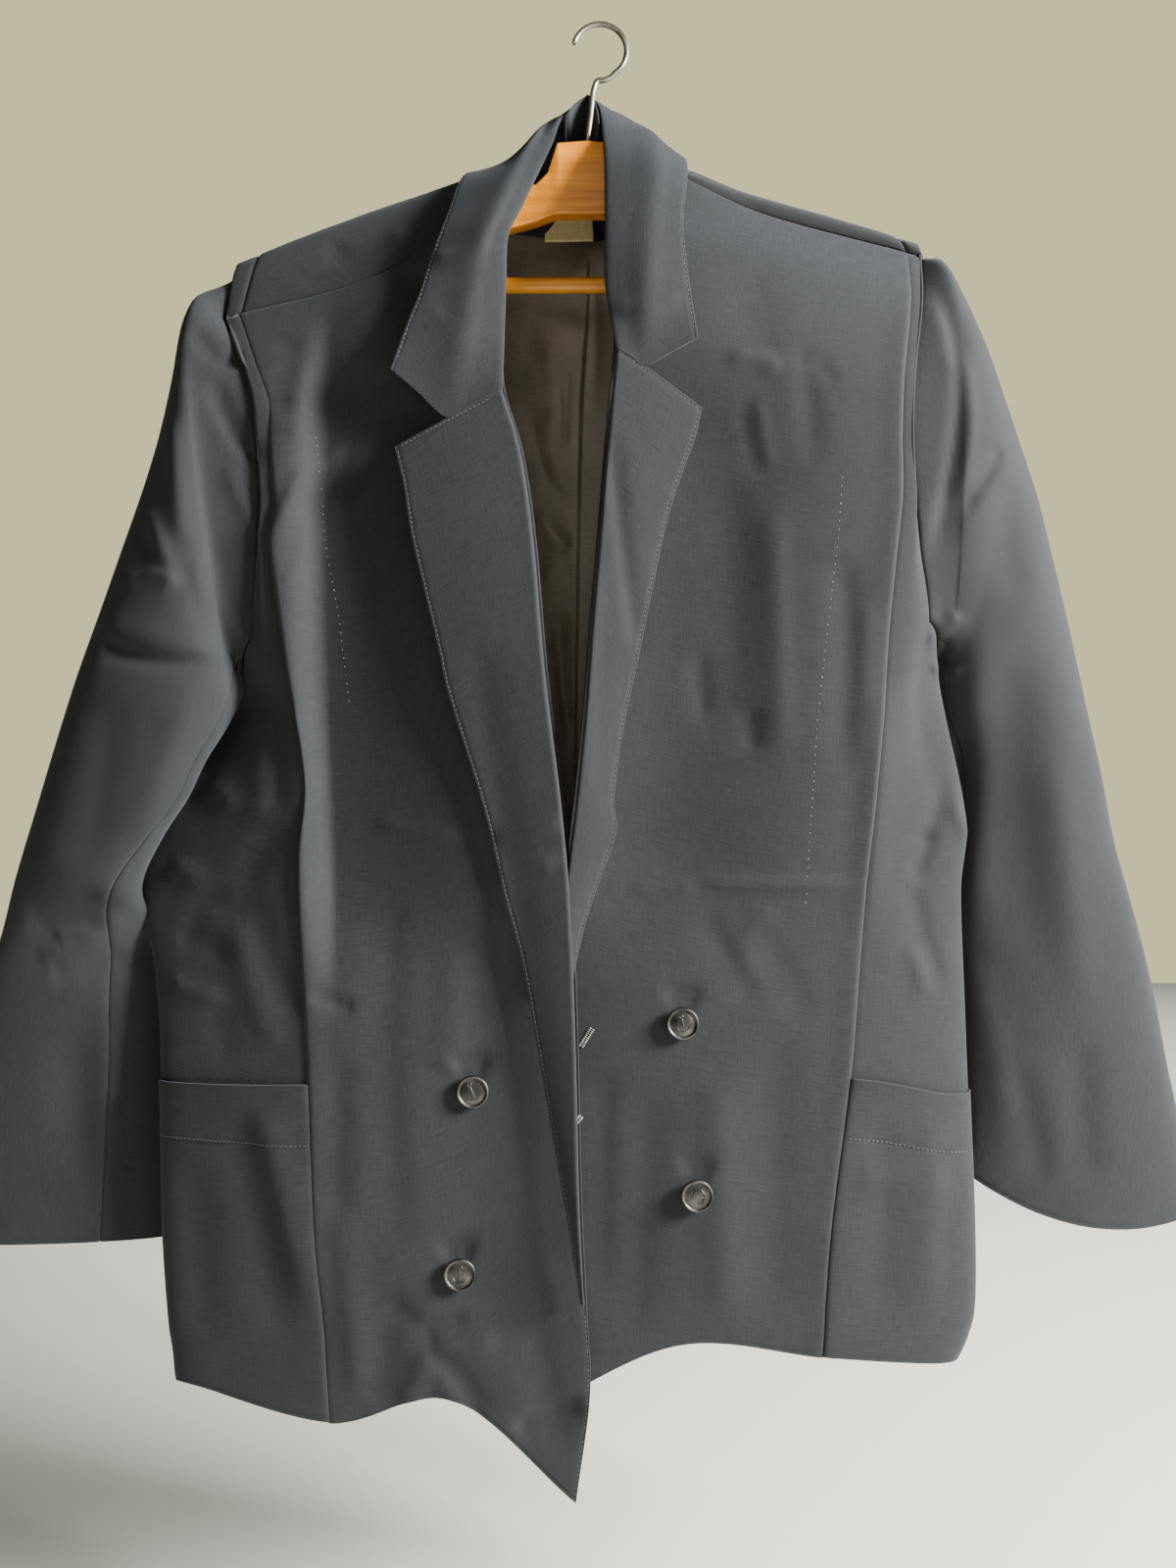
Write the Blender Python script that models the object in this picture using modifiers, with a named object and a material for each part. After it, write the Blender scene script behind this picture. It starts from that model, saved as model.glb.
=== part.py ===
"""A double-breasted blazer hanging open on a flat wooden hanger with a wire hook.

The tables are in millimetres and the meshes in metres, with +Z up and the front
facing -Y. The origin is the inner top of the hook's loop, where a rail carries it.
Right and left are the wearer's, so the right half is at -X.
"""

import bmesh
import bpy
import numpy as np

MM = 0.001
RIGHT, LEFT = -1, 1

# Cloth
CLOTH = 1.6
FACED = 2.4
SATIN = 1.0
SEAT = 0.35
# Gap between panels that are sewn together, between the two parts of a sleeve, and round the armhole
SEAM = 0.7
SLEEVE_SEAM = 1.7
ARMHOLE_SEAM = {RIGHT: 2.1, LEFT: 1.5}
# The front's top line stops short of the shoulder seam by this share of its first step
SHOULDER_DROP = 0.05
GARMENT_CENTRE_X = -10.0

# Columns of the body net, which runs from the right front edge round the back to the left one
EDGE, CHEST, SEAM_FRONT, ARM_FRONT, SIDE, ARM_BACK, SEAM_BACK, SHOULDER, NECK, CENTRE = range(10)
LAST_COLUMN = 2 * CENTRE
SHOULDER_ROWS = 4
UNDERARM_ROW = 6
HEM_ROW = 15

# One row per height: front edge x, z, y; long seam x, z, y; armhole or side fold x, z, y
RIGHT_FRONT = (
    (-58, -104, -15, -234, -194, -14, -245, -197, -10),
    (-66, -192, -38, -220, -229, -30, -234, -219, -24),
    (-62, -230, -42, -209, -259, -37, -223, -250, -31),
    (-60, -255, -43, -207, -288, -39, -219, -282, -34),
    (-49, -292, -44, -204, -322, -40, -216, -318, -35),
    (-41, -345, -45, -206, -353, -40, -218, -352, -34),
    (-35, -415, -45, -196, -425, -38, -224, -410, -28),
    (-31, -452, -45, -192, -451, -36, -246, -452, 0),
    (-24, -507, -45, -186, -502, -36, -286, -508, 4),
    (-19, -558, -45, -189, -550, -36, -304, -560, 2),
    (-16, -614, -45, -187, -616, -36, -291, -622, -8),
    (-14, -678, -45, -183, -690, -37, -286, -692, -12),
    (-12, -764, -45, -180, -779, -36, -284, -785, -12),
    (-9, -830, -44, -175, -842, -34, -280, -845, -12),
    (-7, -883, -43, -173, -876, -34, -277, -867, -12),
    (-16, -952, -42, -171, -906, -33, -275, -888, -12),
)
LEFT_FRONT = (
    (34, -98, -12, 201, -151, -6, 210, -154, -4),
    (20, -150, -31, 198, -189, -24, 206, -188, -20),
    (9, -210, -38, 191, -238, -35, 198, -235, -29),
    (7, -232, -40, 189, -277, -37, 196, -277, -32),
    (2, -285, -40, 189, -317, -38, 199, -314, -32),
    (-3, -344, -40, 185, -357, -38, 203, -351, -31),
    (-8, -402, -40, 181, -403, -36, 210, -397, -26),
    (-12, -454, -40, 178, -452, -35, 223, -451, -12),
    (-18, -513, -40, 172, -519, -34, 237, -523, -12),
    (-24, -562, -39, 167, -563, -34, 234, -568, -12),
    (-30, -624, -38, 162, -625, -34, 236, -622, -12),
    (-36, -692, -38, 157, -687, -34, 239, -699, -12),
    (-39, -772, -38, 146, -774, -34, 242, -781, -12),
    (-41, -835, -37, 142, -826, -33, 242, -835, -12),
    (-42, -866, -36, 141, -848, -33, 238, -856, -12),
    (-42, -897, -36, 140, -865, -32, 231, -873, -12),
)
# Height of the chest column at the hem, where the right front's corner hangs lower
CHEST_HEM = {RIGHT: -889, LEFT: -856}

# Front and back of the shoulder's ridge and the row behind: armhole, seam, shoulder, neck as x, z, y
RIGHT_SHOULDER = (
    ((-242, -171, -5), (-226, -156, -6), (-128, -121, -8), (-64, -104, -8)),
    ((-240, -171, 9), (-224, -156, 10), (-128, -121, 12), (-64, -102, 12)),
    ((-232, -232, 23), (-190, -205, 26), (-130, -195, 29), (-62, -190, 31)),
)
LEFT_SHOULDER = (
    ((212, -149, -3), (196, -143, -6), (100, -116, -8), (40, -99, -8)),
    ((211, -149, 9), (194, -143, 10), (100, -116, 12), (40, -97, 12)),
    ((202, -225, 23), (175, -205, 26), (100, -195, 29), (36, -185, 31)),
)
# Where the chest column meets the shoulder seam
CHEST_SHOULDER = {RIGHT: (-140, -20, -169), LEFT: (107, -9, -127)}
BACK_NECK = ((-86, 33), (-102, 34), (-128, 34), (-190, 33))
BACK_DEPTH = (31, 29, 28, 27, 26, 26, 26, 27, 27, 27, 26, 26)
ARM_BACK_DEPTH = (24, 22, 14)
BACK_SPREAD = {SEAM_BACK: 0.72, SHOULDER: 0.38, NECK: 0.18}
BACK_ARCH = 3
CHEST_ROLL = 1.5
# Half width and half depth of the fold down each side below the arm
SIDE_FOLD_WIDTH = 18
SIDE_FOLD_DEPTH = 11
# Middle of the armhole: how far out, its depth, and how far it dips under the arm
ARMHOLE_OUT = 9
ARMHOLE_Y = -6
UNDERARM_DIP = 20

# Soft folds of the cloth: from x, z to x, z, half width, height, where a ridge is above nought
FOLDS = (
    (-112, -262, -168, -318, 16, 4.0),
    (-150, -300, -196, -350, 14, -3.0),
    (-170, -395, -165, -520, 16, 3.0),
    (-160, -545, -160, -860, 14, 2.5),
    (-212, -560, -206, -860, 16, -2.5),
    (-250, -600, -215, -680, 14, 2.5),
    (-120, -820, -75, -900, 16, 4.0),
    (-60, -800, -100, -880, 13, -3.0),
    (90, -240, 120, -330, 16, 3.0),
    (148, -420, 125, -830, 16, 2.5),
    (200, -480, 196, -840, 16, -2.5),
    (20, -790, 15, -870, 16, 2.5),
)
# Depth at which the folds begin, and over which they grow to their full height
FOLD_START_Y = -6
FOLD_FADE = 20

# Sleeve rings from the armhole down: outer edge x, z, y; inner edge x, z, y; half depth; drop of the middle
RIGHT_SLEEVE = (
    (-261, -179, -5, -238, -430, -6, 31, 0),
    (-271, -197, -7, -238, -432, -10, 33, 0),
    (-277, -235, -9, -238, -435, -13, 34, 0),
    (-285, -274, -11, -238, -440, -16, 34, 0),
    (-295, -310, -14, -238, -447, -20, 33, 0),
    (-308, -349, -16, -239, -456, -24, 31, 0),
    (-322, -390, -18, -243, -469, -28, 28, 0),
    (-336, -431, -20, -253, -487, -30, 26, 0),
    (-349, -472, -20, -264, -510, -30, 25, 0),
    (-363, -516, -18, -282, -537, -28, 24, 0),
    (-378, -560, -14, -298, -569, -22, 23, 0),
    (-393, -605, -8, -300, -598, 7, 20, 0),
    (-412, -638, 2, -295, -635, 12, 19, 0),
    (-432, -684, 10, -288, -682, 16, 18, 0),
    (-442, -744, 12, -286, -739, 17, 17, 0),
    (-448, -806, 12, -284, -803, 17, 16, 0),
)
LEFT_SLEEVE = (
    (224, -157, -3, 226, -416, -4, 30, 0),
    (236, -178, -3, 227, -419, -1, 32, 0),
    (250, -208, -2, 228, -423, 2, 33, 0),
    (263, -243, -1, 228, -428, 5, 33, 0),
    (275, -277, 0, 229, -436, 8, 32, 0),
    (287, -312, 1, 230, -447, 10, 31, 0),
    (298, -354, 2, 232, -460, 12, 30, 0),
    (309, -396, 4, 238, -480, 14, 28, 0),
    (322, -450, 6, 240, -505, 16, 26, 0),
    (333, -494, 8, 240, -534, 17, 24, 0),
    (343, -540, 10, 238, -570, 18, 22, 0),
    (359, -594, 12, 238, -610, 18, 20, 0),
    (370, -637, 13, 240, -653, 18, 19, 2),
    (381, -691, 14, 241, -696, 18, 18, 6),
    (392, -741, 14, 243, -730, 18, 17, 14),
    (400, -785, 14, 240, -758, 18, 16, 22),
)
STATIONS = 16
WRAP = 5
SLEEVE_LINES = 21
# Station of the front seam at the armhole, below the elbow and at the cuff, and of the back seam
FRONT_SEAM_RINGS = (0, 12, 16)
FRONT_SEAM_STATIONS = {RIGHT: (6.0, 5.6, 5.1), LEFT: (5.8, 5.8, 5.8)}
BACK_SEAM_STATION = 12.0
RING_SQUARENESS = 0.8
# Body net row and column that each station of the armhole takes
ARMHOLE = (
    (1, ARM_BACK), (0, ARM_BACK), (1.2, ARM_FRONT), (2.4, ARM_FRONT), (3.5, ARM_FRONT), (4.4, ARM_FRONT),
    (5.3, ARM_FRONT), (6, ARM_FRONT + 0.35), (6, SIDE), (6, ARM_BACK - 0.35), (5.3, ARM_BACK),
    (4.5, ARM_BACK), (3.8, ARM_BACK), (3.1, ARM_BACK), (2.4, ARM_BACK), (1.7, ARM_BACK),
)

# Lapels on the body net: row at the fold, row at the outer edge, columns from the front edge
RIGHT_LAPEL = (
    (3.02, 3.55, 1),
    (3.45, 3.90, 0.99),
    (4.00, 4.30, 0.97),
    (5.00, 5.05, 0.93),
    (6.00, 5.95, 0.83),
    (7.00, 7.00, 0.78),
    (8.40, 8.40, 0.6),
    (9.20, 9.20, 0.51),
    (10.00, 10.00, 0.39),
    (11.00, 11.00, 0.28),
    (12.00, 12.00, 0.13),
    (12.90, 12.90, 0.05),
)
LEFT_LAPEL = (
    (2.90, 3.42, 0.63),
    (3.40, 3.78, 0.6),
    (4.00, 4.18, 0.54),
    (4.80, 4.80, 0.46),
    (5.60, 5.60, 0.4),
    (6.40, 6.40, 0.345),
    (7.20, 7.20, 0.285),
    (7.90, 7.90, 0.27),
    (8.30, 8.30, 0.31),
    (8.70, 8.70, 0.28),
    (9.20, 9.20, 0.21),
    (9.60, 9.60, 0.16),
    (10.00, 10.10, 0.12),
)
LAPEL_ROLL = 1.5
LAPEL_INSET = 0.02

# Collar from the right gorge round the neck to the left one: fold, middle and outer edge as x, z, y
COLLAR = (
    ((-60, -217, -48), (-87, -228, -53), (-121, -214, -49)),
    ((-59, -186, -47), (-82, -191, -52), (-113, -193, -47)),
    ((-58, -157, -43), (-75, -162, -48), (-107, -169, -41)),
    ((-49, -134, -36), (-67, -140, -43), (-98, -140, -34)),
    ((-39, -107, -26), (-57, -110, -30), (-89, -102, -10)),
    ((-31, -81, -13), (-48, -80, -8), (-75, -88, 28)),
    ((-26, -55, 6), (-38, -57, 16), (-58, -94, 44)),
    ((-10, -31, 28), (-10, -36, 39), (-10, -101, 47)),
    ((-3, -38, 18), (13, -44, 29), (31, -95, 44)),
    ((0, -53, 4), (24, -58, 11), (47, -88, 31)),
    ((1, -75, -10), (33, -73, -6), (56, -84, 6)),
    ((2, -103, -23), (34, -104, -27), (56, -108, -20)),
    ((2, -147, -37), (30, -153, -43), (52, -147, -37)),
    ((2, -188, -44), (28, -197, -50), (55, -187, -45)),
)
RIGHT_COLLAR_TIP = (-131, -243, -51)
LEFT_COLLAR_TIP = (60, -223, -49)
# Share of the left lapel's top edge, from its fold, at which the collar ends in the notch
LEFT_NOTCH = 0.34
# Collar stand: row of the collar net, height below the fold
STAND = ((7.0, 17), (7.5, 38), (8.0, 57), (9.0, 50), (10.0, 20), (10.5, 11))
STAND_INSET = 1.6
NECK_MIDDLE = (-13.0, 8.0)

# Lines of the body net that the panels and the pieces laid on them share
ROW_LINES = np.linspace(0, HEM_ROW, 2 * HEM_ROW + 1)
FRONT_LINES = np.linspace(EDGE, SEAM_FRONT, 7)
SIDE_LINES = np.linspace(SEAM_FRONT, SEAM_BACK, 9)
BACK_LINES = np.linspace(SEAM_BACK, LAST_COLUMN - SEAM_BACK, 13)
# Faces of a side panel that the armhole leaves out, counted across it
ARMHOLE_FACES = slice(2, 6)
# Pieces laid on it: slices of the row lines, then of the column lines of their panel
POCKET = slice(22, None), slice(0, 5)
NECK_FACING = slice(1, 5), slice(5, 8)
LINING = slice(4, 30), slice(0, None)
LABEL = slice(2, 5), slice(5, 7)

# Shank buttons: x and z of the four, and the turned profile as radius and height above the cloth
BUTTONS = ((-81, -694, RIGHT), (-89, -809, RIGHT), (51, -651, LEFT), (60, -759, LEFT))
BUTTON_PROFILE = ((0, 5.6), (4.5, 5.4), (7.6, 4.6), (8.4, 4.5), (9.2, 5.1), (10.2, 4.7), (10.4, 3.9),
                  (9.6, 3.2), (3.0, 2.9), (2.6, 0), (0, 0))
BUTTON_ROWS = (9, 14)

# Hanger: distance from its middle, top and bottom of the board
HANGER_X = -8.7
HANGER_THICK = 12.0
HANGER_BOARD = (
    (0, -77.5, -126),
    (20, -79, -126),
    (26, -98, -128),
    (34, -106, -131),
    (45, -108.5, -134),
    (63, -110, -139),
    (107, -119.5, -151),
    (131, -128.5, -156),
    (150, -137, -161),
    (177, -147, -170),
    (200, -157.5, -186),
    (209, -163, -184),
    (213, -172, -177),
)
HANGER_EDGE = 1.6
BAR_Z = -171.0
BAR_RADIUS = 5.0
BAR_HALF = 194.0
WIRE_RADIUS = 1.75
STEM_DEPTH = 14.0
# Hook wire through x, z: up the stem, out to the kink and round the loop
HOOK_STEM = ((-8.7, -91), (-8.7, -77), (-6.4, -56), (-5.2, -44), (-2.6, -36.2))
HOOK_KINK = ((2.4, -35.2), (7.4, -33.0))
HOOK_LOOP_CENTRE = (-0.6, -15.9)
HOOK_LOOP_RADIUS = 17.7
HOOK_LOOP_ANGLES = (-55, 165)


def through(values, at):
    """Smooth curve through rows of values: p0 h00 + m0 h10 + p1 h01 + m1 h11, with slopes of neighbours."""
    values = np.asarray(values, float)
    at = np.atleast_1d(np.asarray(at, float))
    slopes = np.gradient(values, axis=0)
    first = np.clip(np.floor(at).astype(int), 0, len(values) - 2)
    f = (at - first).reshape((-1,) + (1,) * (values.ndim - 1))
    start = values[first] * (2 * f**3 - 3 * f**2 + 1) + slopes[first] * (f**3 - 2 * f**2 + f)
    end = values[first + 1] * (3 * f**2 - 2 * f**3) + slopes[first + 1] * (f**3 - f**2)
    return start + end


def net(control, rows, columns):
    """Surface through a control grid, sampled on the grid of rows and columns."""
    along = through(control, rows)
    return np.swapaxes(through(np.swapaxes(along, 0, 1), columns), 0, 1)


def net_at(control, rows, columns):
    """The same surface at pairs of a row and a column, for two arrays of one shape."""
    pairs = [through(through(control, r)[0], c)[0] for r, c in zip(np.ravel(rows), np.ravel(columns))]
    return np.reshape(pairs, np.shape(rows) + (3,))


def outward(points):
    """Unit normals of a grid: the cross product of its column and row directions."""
    normals = np.cross(np.gradient(points, axis=1), np.gradient(points, axis=0))
    return normals / np.linalg.norm(normals, axis=2, keepdims=True)


def trimmed(points, gap=SEAM):
    """The grid with each of its four borders drawn in by half the gap."""
    points = points.copy()
    for border, inner in ((0, 1), (-1, -2)):
        step = points[:, inner] - points[:, border]
        points[:, border] += 0.5 * gap * step / np.linalg.norm(step, axis=1, keepdims=True)
        step = points[inner] - points[border]
        points[border] += 0.5 * gap * step / np.linalg.norm(step, axis=1, keepdims=True)
    return points


def with_folds(points):
    """Front cloth moved by each fold's height times exp(-(distance / half width)^2)."""
    points = points.copy()
    front = np.clip((FOLD_START_Y - points[..., 1]) / FOLD_FADE, 0, 1)
    for x0, z0, x1, z1, width, height in FOLDS:
        along = np.array((x1 - x0, z1 - z0), float)
        offset = points[..., (0, 2)] - (x0, z0)
        share = np.clip(offset @ along / (along @ along), 0, 1)
        distance = np.linalg.norm(offset - share[..., None] * along, axis=-1)
        points[..., 1] -= front * height * np.exp(-((distance / width) ** 2))
    return points


def on_side(columns, side):
    """Columns given from the right front edge, as they are or counted from the left one."""
    return columns if side == RIGHT else (LAST_COLUMN - columns)[::-1]


def half_body(front, shoulder, side):
    """Control columns of one half, from the front edge to the one beside the centre back."""
    table = np.array(front, float)
    edge, seam, fold = table[:, (0, 2, 1)], table[:, (3, 5, 4)], table[:, (6, 8, 7)]
    chest = 0.5 * (edge + seam) - (0, CHEST_ROLL, 0)
    chest[0] = CHEST_SHOULDER[side]
    chest[HEM_ROW, 2] = CHEST_HEM[side]
    chest[HEM_ROW - 1, 2] = 0.5 * (chest[HEM_ROW, 2] + chest[HEM_ROW - 2, 2])
    arm_front, arm_side, arm_back = fold.copy(), fold.copy(), fold.copy()
    below = slice(UNDERARM_ROW + 1, None)
    arm_front[below] += (-side * SIDE_FOLD_WIDTH, -SIDE_FOLD_DEPTH, 0)
    arm_back[below] += (-side * SIDE_FOLD_WIDTH, SIDE_FOLD_DEPTH, 0)
    above = slice(0, UNDERARM_ROW + 1)
    arm_side[above, 0] += side * ARMHOLE_OUT
    arm_side[above, 1] = ARMHOLE_Y
    arm_side[UNDERARM_ROW, 2] -= UNDERARM_DIP
    arm_back[SHOULDER_ROWS:UNDERARM_ROW + 1, 1] = ARM_BACK_DEPTH
    columns = [edge, chest, seam, arm_front, arm_side, arm_back]
    for column, share in BACK_SPREAD.items():
        points = arm_back.copy()
        points[:, 0] = GARMENT_CENTRE_X + share * (fold[:, 0] - GARMENT_CENTRE_X)
        points[SHOULDER_ROWS:, 1] = np.array(BACK_DEPTH) - BACK_ARCH * share
        columns.append(points)
    for front_column, back_column in enumerate((NECK, SHOULDER, SEAM_BACK, ARM_BACK)):
        columns[back_column][0] = columns[front_column][0]
    for row, heights in enumerate(shoulder, 1):
        for column, (x, z, y) in zip((ARM_BACK, SEAM_BACK, SHOULDER, NECK), heights):
            columns[column][row] = x, y, z
    return columns


def body_net():
    """Control grid of the whole body, front edge to front edge round the back."""
    right = half_body(RIGHT_FRONT, RIGHT_SHOULDER, RIGHT)
    left = half_body(LEFT_FRONT, LEFT_SHOULDER, LEFT)
    centre = 0.5 * (right[NECK] + left[NECK])
    centre[:, 0] = GARMENT_CENTRE_X
    centre[SHOULDER_ROWS:, 1] = BACK_DEPTH
    for row, (z, y) in enumerate(BACK_NECK):
        centre[row, 1:] = y, z
    return np.stack(right + [centre] + left[::-1], axis=1)


def sleeve_net(table, body, side):
    """Control grid of a sleeve: the armhole ring, then one ring for each row of its table."""
    mirrored = [(row, column if side == RIGHT else LAST_COLUMN - column) for row, column in ARMHOLE]
    armhole = np.array([net(body, row, column)[0, 0] for row, column in mirrored])
    armhole[:, 0] += side * ARMHOLE_SEAM[side]
    turn = np.arange(STATIONS) * 2 * np.pi / STATIONS
    bulge = np.sign(np.sin(turn)) * np.abs(np.sin(turn)) ** RING_SQUARENESS
    rings = [armhole]
    for ox, oz, oy, ix, iz, iy, depth, drop in table:
        outer, inner = np.array((ox, oy, oz), float), np.array((ix, iy, iz), float)
        ring = 0.5 * (outer + inner) + 0.5 * np.outer(np.cos(turn), outer - inner)
        ring[:, 1] -= depth * bulge
        ring[:, 2] -= drop * np.sin(turn) ** 2
        rings.append(ring)
    rings = np.array(rings)
    return np.concatenate([rings[:, -WRAP:], rings, rings[:, :WRAP]], axis=1)


def sleeve_part(control, side, seam_before, seam_after, columns):
    """Grid of a sleeve between two seams, given as a station for each ring, facing outwards."""
    rings = np.linspace(0, len(control) - 1, SLEEVE_LINES)
    before, after = (np.interp(rings, FRONT_SEAM_RINGS, seam) for seam in (seam_before, seam_after))
    stations = before[:, None] + np.linspace(0, 1, columns) * (after - before)[:, None]
    points = net_at(control, np.repeat(rings[:, None], columns, axis=1), WRAP + stations)
    return points if side == LEFT else points[:, ::-1]


def lapel_grid(table, body, side, offset, across):
    """Grid of a lapel: the front's points from its folded edge outwards, moved out."""
    at = np.linspace(0, len(table) - 1, 2 * len(table) - 1)
    fold_row, outer_row, width = through(table, at).T
    share = np.linspace(0, 1, across)
    rows = fold_row[:, None] + share * (outer_row - fold_row)[:, None]
    columns = LAPEL_INSET + share * (width[:, None] - LAPEL_INSET)
    if side == LEFT:
        columns = (LAST_COLUMN - columns)[:, ::-1]
        rows = rows[:, ::-1]
        share = share[::-1]
    points = with_folds(net_at(body, rows, columns))
    points[..., 1] -= offset + LAPEL_ROLL * np.sin(np.pi * share)
    return points


def collar_net(right_lapel, left_lapel):
    """Control grid of the collar's fall, whose two ends follow the lapels' gorge lines."""
    rows = np.array(COLLAR, float)[..., (0, 2, 1)]
    right_end = np.array((right_lapel[0, 0], right_lapel[0, 2], np.array(RIGHT_COLLAR_TIP)[[0, 2, 1]]))
    edge = left_lapel[0, ::-1]
    at = LEFT_NOTCH * (len(edge) - 1)
    first = int(at)
    left_notch = edge[first] + (at - first) * (edge[first + 1] - edge[first])
    left_end = np.array((left_lapel[0, -1], left_notch, np.array(LEFT_COLLAR_TIP)[[0, 2, 1]]))
    fold, notch, tip = np.concatenate([[right_end], rows, [left_end]]).swapaxes(0, 1)
    return np.stack([fold, 0.5 * (fold + notch), notch, 0.5 * (notch + tip), tip], axis=1)


def material(name, colour, roughness, metallic=0.0):
    made = bpy.data.materials.new(name)
    made.use_nodes = True
    shader = made.node_tree.nodes["Principled BSDF"]
    shader.inputs["Base Color"].default_value = (*colour, 1)
    shader.inputs["Roughness"].default_value = roughness
    shader.inputs["Metallic"].default_value = metallic
    made.diffuse_color = (*colour, 1)
    return made


def add(name, mesh, look, smooth=True):
    obj = bpy.data.objects.new(name, mesh)
    mesh.materials.append(look)
    if smooth:
        mesh.shade_smooth()
    collection.objects.link(obj)
    return obj


def cloth(name, points, thickness, look, keep=None):
    """A panel: the grid as an open surface, thickened inwards."""
    rows, columns = points.shape[:2]
    corner = np.arange(rows * columns).reshape(rows, columns)
    faces = np.stack([corner[:-1, :-1], corner[:-1, 1:], corner[1:, 1:], corner[1:, :-1]], axis=-1)
    faces = faces[keep] if keep is not None else faces.reshape(-1, 4)
    mesh = bpy.data.meshes.new(name)
    mesh.from_pydata((points.reshape(-1, 3) * MM).tolist(), [], faces.reshape(-1, 4).tolist())
    trim = bmesh.new()
    trim.from_mesh(mesh)
    loose = [vertex for vertex in trim.verts if not vertex.link_faces]
    bmesh.ops.delete(trim, geom=loose, context="VERTS")
    trim.to_mesh(mesh)
    trim.free()
    obj = add(name, mesh, look)
    thick = obj.modifiers.new("Thickness", "SOLIDIFY")
    thick.thickness = thickness * MM
    thick.offset = -1
    return obj


def add_body(body, cloth_look):
    """Fronts, side panels and back, all cut from the one body net."""
    keep = np.ones((len(ROW_LINES) - 1, len(SIDE_LINES) - 1), bool)
    keep[ROW_LINES[:-1] < UNDERARM_ROW, ARMHOLE_FACES] = False
    for word, side in (("right", RIGHT), ("left", LEFT)):
        points = net(body, ROW_LINES, on_side(FRONT_LINES, side))
        points[0] = net(body, 0, on_side(NECK - FRONT_LINES, side))[0]
        points[0] += SHOULDER_DROP * (points[1] - points[0])
        cloth(f"front_{word}", trimmed(with_folds(points)), CLOTH, cloth_look)
        points = net(body, ROW_LINES, on_side(SIDE_LINES, side))
        cloth(f"side_{word}", trimmed(with_folds(points)), CLOTH, cloth_look, keep)
    cloth("back", trimmed(net(body, ROW_LINES, BACK_LINES)), CLOTH, cloth_look)


def add_sleeves(body, cloth_look):
    for word, table, side in (("right", RIGHT_SLEEVE, RIGHT), ("left", LEFT_SLEEVE, LEFT)):
        control = sleeve_net(table, body, side)
        front_seam = FRONT_SEAM_STATIONS[side]
        back_seam = np.full(len(front_seam), BACK_SEAM_STATION)
        upper = sleeve_part(control, side, back_seam - STATIONS, front_seam, 11)
        under = sleeve_part(control, side, front_seam, back_seam, 7)
        cloth(f"upper_sleeve_{word}", trimmed(upper, SLEEVE_SEAM), CLOTH, cloth_look)
        cloth(f"under_sleeve_{word}", trimmed(under, SLEEVE_SEAM), CLOTH, cloth_look)


def add_collar(body, cloth_look):
    """Lapels, collar fall and the stand behind the neck."""
    offset = FACED + SEAT
    right = lapel_grid(RIGHT_LAPEL, body, RIGHT, offset, 5)
    left = lapel_grid(LEFT_LAPEL, body, LEFT, offset, 5)
    cloth("facing_right", trimmed(right), FACED, cloth_look)
    cloth("facing_left", trimmed(left), FACED, cloth_look)
    control = collar_net(right, left)
    rows = np.linspace(0, len(control) - 1, 2 * len(control) - 1)
    fall = net(control, rows, np.linspace(0, 4, 5))[:, ::-1]
    cloth("collar", trimmed(fall), FACED, cloth_look)
    at, height = np.array(STAND, float).T
    rows = np.linspace(at[0], at[-1], 13)
    top = net(control, rows, 0.0)[:, 0]
    inwards = np.array(NECK_MIDDLE) - top[:, :2]
    top[:, :2] += STAND_INSET * inwards / np.linalg.norm(inwards, axis=1, keepdims=True)
    top[:, 2] -= SEAT
    drop = np.interp(rows, at, height)
    stand = np.stack([top - share * np.outer(drop, (0, 0, 1)) for share in (1, 0.5, 0)], axis=1)
    cloth("collar_stand", trimmed(stand), CLOTH, cloth_look)


def laid_on(body, part, column_lines, distance):
    """Points of a panel's lines moved out by a distance, or in where it is below nought."""
    points = net(body, ROW_LINES, column_lines)
    return trimmed(with_folds(points + distance * outward(points))[part])


def add_inside(body, cloth_look, satin_look, label_look):
    """What shows inside the back neck: facing, lining and the blank label."""
    inside = -CLOTH - 2 * SEAT
    cloth("neck_facing", laid_on(body, NECK_FACING, BACK_LINES, inside), SATIN, cloth_look)
    cloth("back_lining", laid_on(body, LINING, BACK_LINES, -CLOTH - SEAT), SATIN, satin_look)
    inside -= SATIN + 2 * SEAT
    cloth("label", laid_on(body, LABEL, BACK_LINES, inside), SATIN, label_look)


def add_pockets(body, cloth_look):
    for word, side in (("right", RIGHT), ("left", LEFT)):
        rows, columns = POCKET
        if side == LEFT:
            columns = slice(len(SIDE_LINES) - columns.stop, None)
        points = laid_on(body, (rows, columns), on_side(SIDE_LINES, side), CLOTH + 2 * SEAT)
        cloth(f"pocket_{word}", points, CLOTH, cloth_look)


def front_depth(body, x, z, side):
    """Depth of the front cloth at x and z, from the nearest points of a fine grid."""
    first = 0 if side == RIGHT else LAST_COLUMN - SEAM_FRONT
    points = with_folds(net(body, np.linspace(*BUTTON_ROWS, 101), np.linspace(first, first + SEAM_FRONT, 81)))
    near = np.hypot(points[..., 0] - x, points[..., 2] - z)
    return points[np.unravel_index(np.argmin(near), near.shape)][1]


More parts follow.
